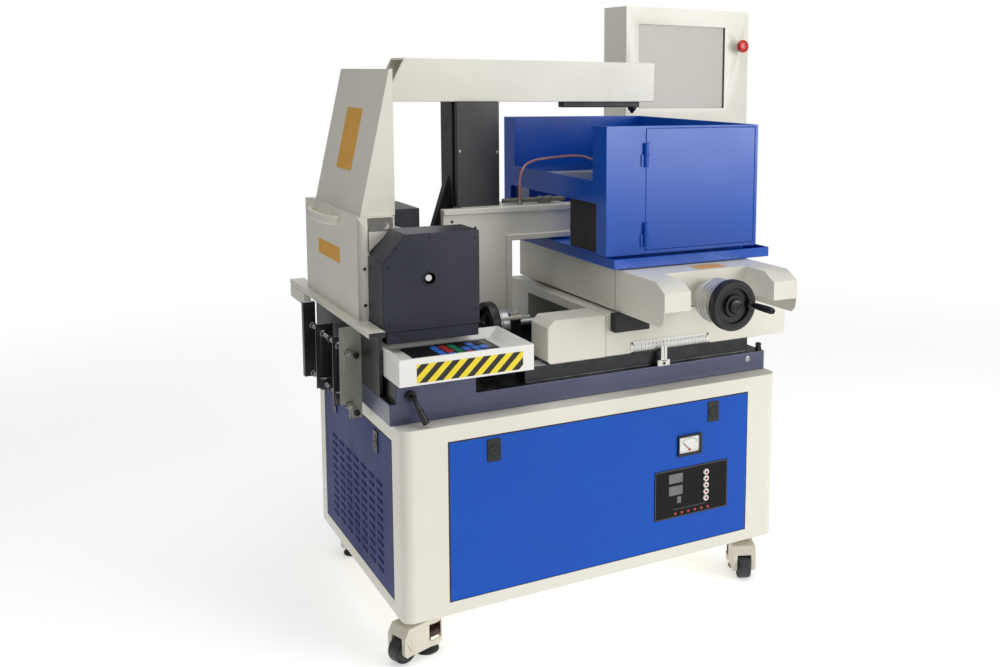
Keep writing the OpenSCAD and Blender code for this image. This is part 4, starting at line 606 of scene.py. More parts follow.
def finishes(*names):
    """The named finishes, in the order of a mesh's material places."""
    return [finish(name) for name in names]


# What a user would change


def colour_choice(name, what, code):
    """A colour in the panel, first set to an sRGB value."""
    return FloatVectorProperty(name=name, description="Colour of the " + what, subtype="COLOR", size=3,
                               min=0, max=1, default=linear(code))


class EdmColours(bpy.types.PropertyGroup):
    cream: colour_choice("Cream", "cream enamel", "#e6e3d6")
    blue: colour_choice("Blue", "blue enamel", "#0450b8")
    navy: colour_choice("Navy", "textured powder coat", "#171a2b")
    casting: colour_choice("Casting", "enamel on the bed", "#3b3f5e")
    floor: colour_choice("Floor", "studio floor", "#f4f4f3")


class EdmSizes(bpy.types.PropertyGroup):
    key: FloatProperty(name="Key light", description="Strength of the softbox at the front right",
                       unit="POWER", default=110, min=0)
    top: FloatProperty(name="Top light", description="Strength of the softbox above", unit="POWER",
                       default=40, min=0)
    side: FloatProperty(name="Side light", description="Strength of the fill at the left", unit="POWER",
                        default=4, min=0)
    air: FloatProperty(name="Air", description="Brightness of the room around the machine",
                       default=0.28, min=0)


def area_light(name, spot, aim, size, power, colour=(1, 1, 1)):
    """A square softbox of size m at spot, turned to aim."""
    lamp = bpy.data.lights.new(name, "AREA")
    lamp.shape, lamp.size, lamp.energy, lamp.color = "SQUARE", size, power, colour
    obj = linked(name, lamp)
    obj.location = spot
    obj.rotation_euler = (Vector(aim) - Vector(spot)).to_track_quat("-Z", "Y").to_euler()
    return obj


# The camera fitted to the photograph: the picture's size in pixels, then yaw, pitch and roll in degrees, the
# focal length in widths, the pixel that it looks at, and its place in mm
PHOTO = (1000, 667)
TURN, FOCAL, AIM, EYE = (32.15594, 7.15420, 0.84055), 1.0999, (682.466, 215.711), (-671.29, -2126.34, 1234.31)


class EDM_OT_stage(bpy.types.Operator):
    """Floor, soft studio light and the camera at the photograph's angle"""

    bl_idname = "edm.stage"
    bl_label = "Studio"

    def execute(self, context):
        scene, sizes, colours = context.scene, context.scene.edm_sizes, context.scene.edm_colours
        yaw, pitch, roll = (math.radians(a) for a in TURN)
        look = np.array([math.sin(yaw) * math.cos(pitch), math.cos(yaw) * math.cos(pitch), -math.sin(pitch)])
        right = np.cross(look, [0, 0, 1])
        right /= np.linalg.norm(right)
        high = np.cross(right, look)
        turned = math.cos(roll) * right + math.sin(roll) * high
        lifted = -math.sin(roll) * right + math.cos(roll) * high
        lens = bpy.data.cameras.new("camera")
        lens.sensor_width, lens.sensor_fit, lens.lens = 36, "HORIZONTAL", FOCAL * 36
        lens.shift_x = (PHOTO[0] / 2 - AIM[0]) / PHOTO[0]
        lens.shift_y, lens.clip_end = (AIM[1] - PHOTO[1] / 2) / PHOTO[0], 100
        camera = linked("camera", lens)
        grid = np.eye(4)
        grid[:3] = np.stack([turned, lifted, -look, place([EYE])[0]], 1)
        camera.matrix_world = Matrix(grid.tolist())
        scene.camera = camera
        area_light("key_softbox", (2.4, -3.9, 1.75), (0.1, 0, 0.6), 2.4, sizes.key)
        area_light("top_softbox", (-0.3, -0.4, 3.4), (0, 0, 0.5), 2.6, sizes.top)
        area_light("side_fill", (-3.6, -1.6, 1.8), (0, 0, 0.6), 2.0, sizes.side, (0.95, 0.97, 1.0))
        area_light("back_fill", (0.6, 3.6, 2.4), (0, 0, 0.7), 2.4, sizes.side * 2)
        scene.world = bpy.data.worlds.new("room")
        tree = bare_tree(scene.world)
        seen = add(tree, "ShaderNodeLightPath").outputs["Is Camera Ray"]
        power = add(tree, "ShaderNodeMapRange", {"Value": seen, "To Min": sizes.air, "To Max": 1.0})
        air = add(tree, "ShaderNodeBackground", {"Color": (1, 1, 1, 1), "Strength": power.outputs["Result"]})
        add(tree, "ShaderNodeOutputWorld", {"Surface": air.outputs["Background"]})
        scene.view_settings.view_transform = "Standard"
        scene.view_settings.look = "None"
        mesh = bpy.data.meshes.new("floor")
        mesh.from_pydata([(-9, -9, 0), (9, -9, 0), (9, 9, 0), (-9, 9, 0)], [], [(0, 1, 2, 3)])
        floor = linked("floor", mesh)
        mat = bpy.data.materials.new("painted_floor")
        tree = bare_tree(mat)
        where = add(tree, "ShaderNodeTexCoord").outputs["Object"]
        far = add(tree, "ShaderNodeVectorMath", {0: where}, operation="LENGTH").outputs["Value"]
        fade = add(tree, "ShaderNodeMapRange", {"Value": far, "From Min": 1.6, "From Max": 4.0},
                   interpolation_type="SMOOTHSTEP")
        paint = add(tree, "ShaderNodeBsdfDiffuse", {"Color": rgba(colours.floor)})
        glow = add(tree, "ShaderNodeEmission", {"Color": rgba(colours.floor), "Strength": 0.5})
        paint = add(tree, "ShaderNodeAddShader", {0: paint.outputs["BSDF"], 1: glow.outputs["Emission"]})
        clear = add(tree, "ShaderNodeBsdfTransparent")
        mixed = add(tree, "ShaderNodeMixShader", {0: fade.outputs["Result"], 1: paint.outputs["Shader"],
                                                  2: clear.outputs["BSDF"]})
        add(tree, "ShaderNodeOutputMaterial", {"Surface": mixed.outputs["Shader"]})
        mesh.materials.append(mat)
        return {"FINISHED"}


# Centres of the louvres' columns along the side and of their rows up it
LOUVRE_COLUMNS, LOUVRE_ROWS = 160.7 + 60.44 * np.arange(7), 156.6 + 19.33 * np.arange(11)


class EDM_OT_cabinet(bpy.types.Operator):
    """Cabinet frame, its panels and their latches"""

    bl_idname = "edm.cabinet"
    bl_label = "Cabinet"

    def execute(self, context):
        cream, blue = finishes("sprayed_cream_enamel", "sprayed_blue_enamel")
        black, shade_and_seal = finishes("black_moulded_plastic", "black_rubber_sheet")
        # Painted shade: the walls round both openings are black, so that the panels' gaps read as shade
        deep, tall = (0.2, 19), (2, 123, 475.5)
        dress("cabinet_frame", 1.2, [cream, shade_and_seal], lambda s, t: (
            within(s, (1, *deep), (0, 97, 863), tall) & (abs(t[:, 1]) < 0.5)
            | within(s, (0, *deep), (1, 67, 617), tall) & (abs(t[:, 0]) < 0.5)))
        # The left panel and its louvres get a darker copy of the blue: painted shade on the side away from
        # the light
        shaded = finish("painted_shade_blue_enamel")
        for node, paint in (("front_panel", blue), ("left_panel", shaded), ("rear_panels", blue)):
            dress(node, 0, [paint])
        # Painted shade: a black strip in the gap above each panel and in the one beside it
        for node, axis, x0, x1, upright in (("front_panel", FRONT, 98.3, 861.7, (98.3, 101)),
                                            ("left_panel", LEFT, -615.2, -68.8, (-71, -68.8))):
            spots = [(x0, 471.8, x1, 474.2), (upright[0], 124, upright[1], 474.2)]
            edge = plaque(Shape(), spots, axis, -0.2, 0.25)
            trim(edge, node + "_gap_shade", node, [shade_and_seal])
        # Louvres: each hood is a quarter round that fades at both ends, over a mouth painted black as shade
        y, z = np.meshgrid(LOUVRE_COLUMNS, LOUVRE_ROWS, indexing="ij")
        half, rise, bulge, sunk, rows, cols = 22, 6.5, 2.6, 0.5, 9, 6
        u, v = np.meshgrid(np.linspace(-1, 1, rows), np.linspace(0, math.pi / 2, cols - 1), indexing="ij")
        swell = bulge * np.sin(v) * np.sqrt(1 - u**8)
        hood = np.stack([-swell, half * u, rise * np.cos(v) - sunk], -1)
        lip = np.stack([0 * u[:, :1], half * u[:, :1], -sunk + 0 * u[:, :1]], -1)
        hood = np.concatenate([hood, lip], 1)
        spots = np.stack([0 * y.ravel(), y.ravel(), z.ravel()], 1)
        pts = spots[:, None, None] + hood[None]
        faces = grid_faces(rows, cols)[:, ::-1]
        mouth = (faces % cols == cols - 1).any(1)
        shape = Shape()
        every = np.arange(len(spots))[:, None, None] * rows * cols + faces[None]
        shape.add(pts, every[:, ~mouth].reshape(-1, 4), 0)
        shape.add(pts, every[:, mouth].reshape(-1, 4), 1)
        trim(shape, "left_panel_louvres", "left_panel", [shaded, shade_and_seal], tidy=False)
        for node, x, panel, axis in (
                ("front_latch_left", 199.5, "front_panel", FRONT),
                ("front_latch_right", 760.5, "front_panel", FRONT),
                ("left_latch_front", -180, "left_panel", LEFT),
                ("left_latch_rear", -514, "left_panel", LEFT)):
            dress(node, 0.6, [black])
            ring = framed(Shape(), oval(x, 441, 31, 50, 14), oval(x, 441, 24.8, 24.8), axis, 0, 2.2, 0.8)
            trim(ring, node + "_bezel", panel, [black])
        return {"FINISHED"}


class EDM_OT_castors(bpy.types.Operator):
    """Swivelling castors with their wheels and levelling feet"""

    bl_idname = "edm.castors"
    bl_label = "Castors"

    def execute(self, context):
        spots = [(66, 57), (884, 57), (66, 623), (884, 623)]
        for i in range(1, 5):
            dress(f"castor_housing_{i}", 1.2, finishes("moulded_nylon"), steps=3)
            dress(f"castor_wheel_{i}", 1.8, finishes("black_nylon_tread"), steps=3)
        shape = Shape()
        for x, y in spots:
            profile = [(0, 0), (23.5, 0), (25, 1.5), (25, 5), (23.5, 7), (18, 12.5), (11, 14), (8, 14.5),
                       (8, 40), (0, 40)]
            lathe(shape, (x, y, 0), Z, profile, 0, 40)
            profile = [(8, 40), (25.5, 40), (27.4, 41.5), (27.4, 52.5), (25.5, 54), (8, 54), (8, 79),
                       (0, 79)]
            lathe(shape, (x, y, 0), Z, profile, 1, 96, 0.02, 24)
        stand_in(shape, "castor_feet", finishes("black_rubber_sheet", "brown_moulded_thumbwheel"))
        return {"FINISHED"}


# Heights of the two rods through the bracket on the left
RODS = (507, 625)


class EDM_OT_bed(bpy.types.Operator):
    """Bed casting, drum base, carriage and the bracket on the left"""

    bl_idname = "edm.bed"
    bl_label = "Bed"

    def execute(self, context):
        cast, steel, dark = finishes("enamelled_casting", "ground_steel", "black_enamel")
        oily, zinc, black = finishes("oily_black_casting", "zinc_plated_steel", "black_moulded_plastic")
        cream = finish("sprayed_cream_enamel")
        # The ways are ground steel, the channels beside them oily, and the front face stays enamelled
        dress("bed", 2.2, [cast, steel, oily], lambda s, t: np.select([
            (t[:, 2] > 0.9) & (s[:, 2] > 592), (t[:, 1] < -0.9) & (s[:, 1] < 56),
            (s[:, 2] > 557.5) | (t[:, 2] > 0.9) & (s[:, 2] > 556)], [1, 0, 2]))
        # The guard's ledge is cream and the base's top is bare steel
        dress("drum_base", 1.0, [dark, cream, steel], lambda s, t: np.select([
            (s[:, 0] < 9) & (s[:, 2] > 682.5), (t[:, 2] > 0.9) & (s[:, 2] > 655)], [1, 2]))
        dress("drum_carriage", 1.2, finishes("navy_powder_coat"))
        # The bracket's block is grey iron, its rods are zinc plated and the rest is black
        dress("side_bracket", 0, [finish("grey_iron_casting"), zinc, dark], lambda s, t: np.select([
            within(s, (1, 242, 301)) & ((s[:, 0] > -37) | (t[:, 1] < -0.9)),
            within(s, (0, -45, -27)) & (abs(t[:, 1]) < 0.95)], [0, 1], 2))
        shape = Shape()
        # Locking lever, oil plug and stud at the front, and the shelf under the ruler
        tube(shape, bent([(36, 52, 571), (36, 24, 571), (38, 18, 560), (52, 12, 530)], 12), 5.2, 0, 14)
        tube(shape, bent([(44, 15.5, 547), (56, 10, 518)], 4), 7.2, 0, 14, 8)
        lathe(shape, (36, 51, 571), FORE, [(0, 0), (11, 0), (11, 8), (9.5, 10), (0, 10)], 0, 28)
        plug = [(0, 0), (8, 0), (8, 1), (6.6, 1.6), (5.6, 0.7), (0, 0.7)]
        lathe(shape, (895, 50.5, 541), FORE, plug, 1, 32)
        stud = [(0, 0), (8, 0), (8, 9), (6, 10), (6, 12), (7.4, 13), (7.4, 18), (6, 20), (0, 20.5)]
        lathe(shape, (934, 60, 556), Z, stud, 0, 28)
        block(shape, (568, 55, 592), (786, 61, 596), 0.8)
        trim(shape, "bed_fittings", "bed", [black, zinc])
        shape = Shape()
        block(shape, (632, 44, 557), (664, 50, 571), 0.6)
        block(shape, (640, 44, 568), (656, 46.5, 606), 0.6)
        plaque(shape, [(647.4, 572, 648.6, 605)], FRONT, -43.9, -43.8, 1)
        screws(shape, [(648, 44, 563)], FORE, 3.4, 2, 1)
        trim(shape, "ruler_pointer", "bed", [finish("white_moulded_plastic"), dark])
        shape = Shape()
        block(shape, (-28, 688, 648), (-8.2, 829, 682.8), 4)
        block(shape, (352.5, 262.5, 655), (379.5, 264.9, 667), 0.6)
        block(shape, (323, 258, 658), (400, 262.6, 664), 0.8)
        lathe(shape, (362, 260.3, 664), Z, [(0, 0), (2.2, 0), (2.2, 12), (1.6, 13), (0, 13)], 0, 16)
        trim(shape, "small_brackets", "bed", [cream])
        shape = Shape()
        screws(shape, [(-22, 243, 620), (-22, 243, 490)], FORE, 7, 4.5)
        nut = [(4, 0), (8.6, 0), (9.2, 1), (9.2, 6), (8.2, 7.4), (4, 7.4)]
        for y in (252, 402, 503):
            for z in RODS:
                lathe(shape, (-36, y, z), FORE, nut, 0, 6)
                lathe(shape, (-36, y, z), FORE, [(4, 7.4), (4, 15), (3.2, 16), (0, 16)], 1, 16)
        y = np.linspace(262, 574, 1000)
        # M8 rods, with their thread of 1.25 mm pitch
        thread = 4.0 + 0.28 * np.sin(y * 2 * math.pi / 1.25)
        for z in RODS:
            tube(shape, np.stack([0 * y - 36, y, 0 * y + z], 1), thread, 1, 10)
        trim(shape, "bracket_nuts_and_threads", "bed", [dark, zinc])
        return {"FINISHED"}


# The drum's axle, seen from the front
AXLE = (112, 797)


class EDM_OT_drum(bpy.types.Operator):
    """Gear cover, motor cover and wire drum"""

    bl_idname = "edm.drum"
    bl_label = "Wire drum"

    def execute(self, context):
        navy, steel = finishes("navy_powder_coat", "ground_steel")
        dress("gear_cover", 1.6, [navy, finish("black_moulded_plastic")],
              lambda s, t: within(s, (1, 145, 243)) & (abs(t[:, 1]) > 0.9))
        dress("drum_motor", 1.5, [navy])
        shape = Shape()
        spots = [(22, 827), (42, 866), (113, 887), (216, 720), (216, 880), (22, 700)]
        screws(shape, [(x, 140, z) for x, z in spots], FORE, 2.6, 1.4)
        framed(shape, oval(*AXLE, 33, 33), oval(*AXLE, 25, 25), FRONT, -140, -138.4, 0.7, 1)
        trim(shape, "gear_cover_screws", "gear_cover", [navy, finish("black_moulded_plastic")])
        shape = Shape()
        # Turns of wire 2 mm apart, standing 0.45 mm out of the valleys between them
        y = np.arange(272, 412, 0.5)
        turns = 77 + 0.45 * abs(np.sin((y - 272) / 2.0 * math.pi))
        at = (AXLE[0], 0, AXLE[1])
        lathe(shape, at, Y, [(0, 146), (7, 146), (8.4, 147.5), (8.4, 190)], 0, 32)
        gear = [(8.4, 190), (43, 190), (44, 191.5), (44, 208.5), (43, 210), (12, 210)]
        lathe(shape, at, Y, gear, 0, 144, 0.025, 36)
        flange = [(12, 210), (12, 262), (78.5, 262), (80, 263.5), (80, 270.5), (78.6, 272), (77, 272)]
        lathe(shape, at, Y, flange, 0, 72)
        lathe(shape, at, Y, np.stack([turns, y], 1), 1, 72)
        profile = [(77, 412), (78.6, 412), (80, 413.5), (80, 420.5), (78.5, 422), (60, 422), (58, 419),
                   (30, 419), (28, 422), (12, 422), (12, 474), (0, 474)]
        lathe(shape, at, Y, profile, 0, 72)
        stand_in(shape, "drum", [steel, finish("wound_molybdenum_wire")])
        return {"FINISHED"}


class EDM_OT_guard(bpy.types.Operator):
    """Drum guard in two parts with its bow handle"""

    bl_idname = "edm.guard"
    bl_label = "Guard"

    def execute(self, context):
        cream = finish("sprayed_cream_enamel")
        # The lower guard without the CAD's plain handle: the faces past the wall go, and the wall is closed
        mesh = frame["nodes"]["guard_lower"].data.copy()
        bm = bmesh.new()
        bm.from_mesh(mesh)
        reach = {f: [(v.co.x - CORNER.x) / MM for v in f.verts] for f in bm.faces}
        far = [f for f, x in reach.items() if max(x) < -12.4 or min(x) < -20]
        bmesh.ops.delete(bm, geom=far, context="FACES")
        bmesh.ops.remove_doubles(bm, verts=bm.verts, dist=MERGE)
        bmesh.ops.holes_fill(bm, edges=[e for e in bm.edges if e.is_boundary], sides=0)
        bmesh.ops.recalc_face_normals(bm, faces=bm.faces)
        bm.to_mesh(mesh)
        bm.free()
        mesh.name = "guard_lower_finished"
        coat_with(mesh, [cream])
        node = "guard_lower"
        finish_object(mesh, mesh.name, body_named(node), (node,), CAD_EDGE)
        # Bow handle: an oval section swept along a flattened half circle
        shape, a = Shape(), np.linspace(0, math.pi, 33)
        bow = np.stack([-12 - 27 * np.sin(a) ** 0.7, 503 - 108 * np.cos(a), 900 + 0 * a], 1)
        ring = oval(0, 0, 11, 21, 3.2, 28)
        tan = np.gradient(bow, axis=0)
        tan /= np.linalg.norm(tan, axis=1)[:, None]
        side = np.cross(tan, Z)
        pts = bow[:, None] + ring[None, :, :1] * side[:, None] + ring[None, :, 1:] * np.array([0, 0, 1.0])
        ends = [bow[k].repeat(28).reshape(1, 3, 28).transpose(0, 2, 1) for k in (0, -1)]
        shape.add(np.concatenate([ends[0], pts, ends[1]]), grid_faces(35, 28, True))
        trim(shape, "guard_handle", "guard_lower", [cream])
        dress("guard_upper", 0.6, [cream])
        shape = Shape()
        # Sheet in the notch, a bead under the upper guard, and two screws
        slab(shape, [(10.5, 846), (14, 846), (68, 898), (68, 922.5), (10.5, 922.5)], FRONT, -250.4, -248, 0.4)
        plaque(shape, [(-11, 920.4, 71, 922.6)], FRONT, -248, -247.4)
        screws(shape, [(3, 248, 809), (3, 248, 728)], FORE, 3.4, 1.6, 1)
        trim(shape, "guard_front_fittings", "guard_lower", [cream, finish("black_enamel")])
        shape = Shape()
        slab(shape, round_rect(-582, 801, -392, 837, 3), LEFT, 12, 12.5, 0.3)
        slope = np.array([70, 0, 322]) / math.hypot(70, 322)
        out = np.array([-slope[2], 0, slope[0]])
        slab(shape, round_rect(-521, 993, -397, 1138, 3), (out, FORE, slope), 196.85, 197.35, 0.3)
        trim(shape, "guard_amber_plates", "guard_lower", finishes("amber_plate"))
        return {"FINISHED"}


# The coolant hose's route: up from the lower arm, over the tank's side and down to the lower nozzle
HOSE = place(smooth([(430, 385, 915.4), (430, 385, 945), (432, 386, 985), (446, 392, 1010), (474, 402, 1022),
                     (510, 414, 1026), (550, 426, 1028), (590, 438, 1029), (630, 448, 1027), (664, 455, 1018),
                     (690, 460, 1000), (702, 462, 970), (704, 462, 940), (704, 462, 881.4)], 40))


# The wire, seen from above, and the radius at which the guide wheels carry it
WIRE, WHEEL = (790, 461), 25


class EDM_OT_column(bpy.types.Operator):
    """Column, its base casting and the two wire arms"""

    bl_idname = "edm.column"
    bl_label = "Column and arms"

    def execute(self, context):
        cream, dark, steel = finishes("sprayed_cream_enamel", "wrinkled_black_enamel", "ground_steel")
        for node, width, coat in (("column_base", 1.8, cream), ("column", 2.0, dark),
                                  ("arm_slide", 1.5, dark), ("upper_arm", 1.6, cream)):
            dress(node, width, [coat])
        spots = [(454, 372, 872), (511, 372, 869), (305, 366, 867), (247, 366, 885)]
        trim(screws(Shape(), spots, FORE, 3.6, 1.6), "base_screws", "column_base", finishes("black_enamel"))
        spots = [(281, 400, 1050), (377, 400, 1046)]
        trim(screws(Shape(), spots, FORE, 3.4, 1.8), "slide_screws", "arm_slide",
             finishes("zinc_plated_steel"))
        shape = Shape()
        block(shape, (577, 448, 1153.6), (806, 474, 1169.2), 2.5)
        profile = [(0, 0), (12, 0), (12, 3), (8, 9), (4.4, 13), (4, 16), (1.4, 16), (1, 8), (0, 8)]
        lathe(shape, (*WIRE, 1153.6), (0, 0, -1), profile, 0, 36)
        stand_in(shape, "nozzle_bar", finishes("black_moulded_plastic"))
        for node, z in (("upper_guide_wheel", 1197.3), ("lower_guide_wheel", 883)):
            shape = Shape()
            groove = [(4.3, -5), (9, -5), (10, -4), (10, -2.6), (20, -2.2), (21.5, -4.6), (23.6, -5),
                      (25, -4), (23, 0), (25, 4), (23.6, 5), (21.5, 4.6), (20, 2.2), (10, 2.6), (10, 4),
                      (9, 5), (4.3, 5), (4.3, -5)]
            lathe(shape, (WIRE[0] - WHEEL, WIRE[1], z), Y, groove, 0, 64)
            stand_in(shape, node, [steel])
        # Conduit with a rib every 3.4 mm, its coupling and its clip
        x = np.arange(390, 559.1, 0.6)
        shape = Shape()
        ribs = 6.0 + 0.5 * np.sin(x * 2 * math.pi / 3.4)
        tube(shape, np.stack([x, 400 + 0 * x, 925 + 0 * x], 1), ribs, 0, 20)
        profile = [(6, 0), (9, 0), (9.4, 1), (9.4, 9), (8, 11), (8, 22), (9.4, 24), (9.4, 33), (8.6, 35),
                   (6, 35)]
        lathe(shape, (486, 400, 925), X, profile, 0, 12)
        block(shape, (490, 391.4, 915.2), (516, 408.6, 922), 1.2)
        stand_in(shape, "wire_conduit", finishes("galvanised_conduit"))
        wall = tube(Shape(), place_back(HOSE), 3.0, 0, 18)
        hose = stand_in(wall, "coolant_hose", finishes("rosy_vinyl_hose"))
        # A hexagonal fitting at the arm and a round one at the nozzle
        shape, barb = Shape(), [(0, 0), (5.4, 0), (5.4, 6), (4.2, 9), (3.1, 10)]
        for end, drop, sides in ((0, -1, 6), (-1, 0, 24)):
            lathe(shape, place_back(HOSE)[end] + [0, 0, drop], Z, barb, 0, sides)
        trim(shape, "hose_fittings", "coolant_hose", finishes("zinc_plated_steel"))
        return {"FINISHED"}


class EDM_OT_table(bpy.types.Operator):
    """Cross table: both slides, their covers and the work table rails"""

    bl_idname = "edm.table"
    bl_label = "Cross table"

    def execute(self, context):
        cream, iron, shade_and_seal = finishes("sprayed_cream_enamel", "grey_iron_casting", "black_rubber_sheet")
        dress("x_slide", 2.2, [cream, finish("ground_steel")], lambda s, t: (t[:, 2] > 0.9) & (s[:, 2] > 745))
        dress("x_end_cover", 2.4, [cream], steps=3)
        dress("y_slide", 1.5, [iron])
        dress("y_cover", 0.8, [cream])
        dress("work_table", 1.0, finishes("ground_steel"))
        shape = Shape()
        plaque(shape, [(566, 594.5, 784, 620.5)], FRONT, -61, -59.8)
        # A line at every centimetre with its number, and a shorter one halfway
        x = 575 + 10 * np.arange(21)
        plaque(shape, np.stack([x - 0.35, 0 * x + 596, x + 0.35, 0 * x + 605], 1), FRONT, -59.9, -59.6, 1)
        half = x[:-1] + 5
        lines = np.stack([half - 0.3, 0 * half + 596, half + 0.3, 0 * half + 601], 1)
        plaque(shape, lines, FRONT, -59.9, -59.6, 1)
        numerals(shape, [str(i) for i in range(21)], [(a, 611) for a in x], 8.5, FRONT, -59.6, 1)
        screws(shape, [(569.5, 59.8, 616), (780.5, 59.8, 616)], FORE, 2.6, 1.2, 1)
        trim(shape, "plate_ruler", "x_slide", finishes("white_moulded_plastic", "black_moulded_plastic"),
             tidy=False)
        rear = block(Shape(), (503, 588, 596), (1014, 628, 690), 2.5)
        trim(rear, "x_slide_rear_cover", "x_slide", [cream])
        # A black block at the front of the x slide, under the upper slide's left horn
        black_block = block(Shape(), (512, 38, 652), (604, 61.5, 695.5), 2)
        trim(black_block, "black_block_under_y_slide", "x_slide", [shade_and_seal])
        plate = slab(Shape(), round_rect(700, -22, 778, 26, 4), UP, 794.6, 795.2, 0.3, 1)
        trim(plate, "y_cover_plate", "y_cover", [cream, finish("amber_plate")])
        gap = plaque(Shape(), [(-72.4, 697, -71.2, 794)], LEFT, -529.9, -529.6)
        trim(gap, "y_cover_seals", "y_cover", [shade_and_seal])
        clamps = screws(Shape(), [(x, y, 972.8) for x in (541, 891) for y in (180, 610)], Z, 6, 5)
        trim(clamps, "table_clamp_screws", "work_table", finishes("black_enamel"))
        return {"FINISHED"}


# A point on the centre line of each screw
X_SCREW, Y_SCREW = (0, 295, 640), (709, 0, 731.8)


class EDM_OT_handwheels(bpy.types.Operator):
    """Both handwheels with their cranks, and the graduated collar"""

    bl_idname = "edm.handwheels"
    bl_label = "Handwheels"

    def execute(self, context):
        black, steel, collar = finishes("black_moulded_plastic", "ground_steel", "satin_aluminium")
        # Profiles of radius and height: the rim with its web and hub, the nut, and the crank's grip
        rim = [(7, 0), (20, 0), (22, 3), (38, 5), (44, 1), (52, 0), (56.5, 1.5), (58, 5), (58, 19),
               (56.8, 23), (54, 25), (47.5, 25), (46.8, 24), (45.4, 24), (44.7, 25), (41.5, 25), (39.5, 23),
               (38.6, 16), (27, 15.5), (25.6, 17), (25, 23.5), (23.5, 25), (18.5, 25), (17.5, 24),
               (16.5, 24)]
        nut = [(16.5, 24), (16.5, 29), (15, 31.5), (9, 33), (8, 32), (0, 32)]
        grip = [(0, 0), (9.6, 0), (9.6, 5), (7, 7.5), (5.4, 10), (5.6, 13), (6.6, 18), (7.6, 34), (8, 58),
                (7.8, 74), (7, 79.5), (5.6, 81.8), (4.6, 82), (4.2, 79), (0, 79)]
        # Each wheel's centre, the way it faces, its crank's foot and the length of the grip
        for node, at, axis, crank, reach in (
                ("y_handwheel", (709, -132, 731.8), FORE, (751, -156, 731.8), 84.8),
                ("x_handwheel", (321, 295, 640), (-1, 0, 0), (297, 295, 682), 44.8)):
            shape = Shape()
            lathe(shape, at, axis, rim, 0, 80)
            lathe(shape, at, axis, nut, 0, 80)
            lathe(shape, crank, axis, [(r, h * reach / 82) for r, h in grip], 0, 32)
            if node == "x_handwheel":
                ring = [(0, 319), (7, 319), (7, 321), (33.5, 321), (34.6, 322.5), (34.6, 330), (33.8, 331),
                        (33.8, 333), (34.6, 334), (34.6, 350), (33.5, 351.4), (8, 351.4)]
                lathe(shape, X_SCREW, X, ring, 1, 64)
                lead_screw(shape, X_SCREW, X, 351.4, 894)
            stand_in(shape, node, [black, steel])
        shape = Shape()
        profile = [(0, -157), (6.8, -157), (6.8, -132), (8, -132), (8, -128), (49.5, -128), (51, -127),
                   (52, -124), (52, -113), (51, -112), (51, -110.5), (52, -109.5), (52, -100), (51, -99),
                   (51, -97.5), (52, -96.5), (52, -86), (50.5, -84), (49, -83), (49, -80), (50.5, -78),
                   (50.5, -74.5), (49, -73.2), (43.6, -72), (43.6, -52), (42.4, -50), (8, -50)]
        lathe(shape, Y_SCREW, Y, profile, 0, 96)
        lead_screw(shape, Y_SCREW, Y, -50, 586)
        # Eighty ticks round the collar, every fifth one longer
        a = np.linspace(0, 2 * math.pi, 80, endpoint=False)
        long = np.where(np.arange(80) % 5 == 0, 9.0, 5.5)
        c, s = np.cos(a), np.sin(a)
        foot = [(-0.5, -123.5), (0.5, -123.5), (0.5, -123.5 + long), (-0.5, -123.5 + long)]
        pts = np.stack([np.stack([Y_SCREW[0] + r * c - side * s, y + 0 * a, Y_SCREW[2] + r * s + side * c], 1)
                        for r in (51.5, 52.12) for side, y in foot], 1)
        boxes(shape, pts, 2)
        stand_in(shape, "y_screw", [collar, steel, black])
        return {"FINISHED"}


class EDM_OT_tank(bpy.types.Operator):
    """Tank with its door, port curtain and drip tray"""

    bl_idname = "edm.tank"
    bl_label = "Tank"

    def execute(self, context):
        blue = finish("glossy_blue_enamel")
        for node, width in (("tank", 0.6), ("tank_door", 1.0), ("drip_tray", 1.2)):
            dress(node, width, [blue])
        dress("port_curtain", 0.5, finishes("black_rubber_sheet"))
        return {"FINISHED"}


TRAY_TOP = 640


class EDM_OT_console(bpy.types.Operator):
    """Console tray with its keypad and hazard stripes"""

    bl_idname = "edm.console"
    bl_label = "Console"

    def execute(self, context):
        white, black = finishes("white_stoved_enamel", "black_moulded_plastic")
        dress("console_tray", 1.2, [white])
        shape = Shape()
        slab(shape, round_rect(53, 60, 249, 172, 4), UP, TRAY_TOP, TRAY_TOP + 1.6, 0.5)
        slab(shape, round_rect(226, 96, 243, 160, 2), UP, TRAY_TOP + 1.6, TRAY_TOP + 2.2, 0.3, 4)
        # Keys in three rows: 1 blue, 2 red, 3 green, 0 black
        kinds = [[1, 2, 3, 1, 1, 1], [1, 2, 3, 0, 1, 0], [1, 1, 3, 2, 1, 0]]
        for row, y in enumerate((103.5, 140, 70)):
            for col, kind in enumerate(kinds[row]):
                x = 119 + 20 * col
                key = round_rect(x - 8, y - 13, x + 8, y + 13, 2.5)
                slab(shape, key, UP, TRAY_TOP + 1.6, TRAY_TOP + 3.2, 0.6, kind)
        stand_in(shape, "keypad", [black, finish("blue_key"), finish("red_key"), finish("green_key"),
                                   finish("grey_lens")])
        outline = [(38.9, 605), (264, 605), (273.9, 614), (273.9, 644), (38.9, 644)]
        tape = slab(Shape(), outline, FRONT, -15, -14.4, 0.25)
        trim(tape, "hazard_band_plate", "console_tray", finishes("hazard_band"))
        return {"FINISHED"}


# The pivot of the meter's needle, seen from the front
METER = np.array([694, 358])


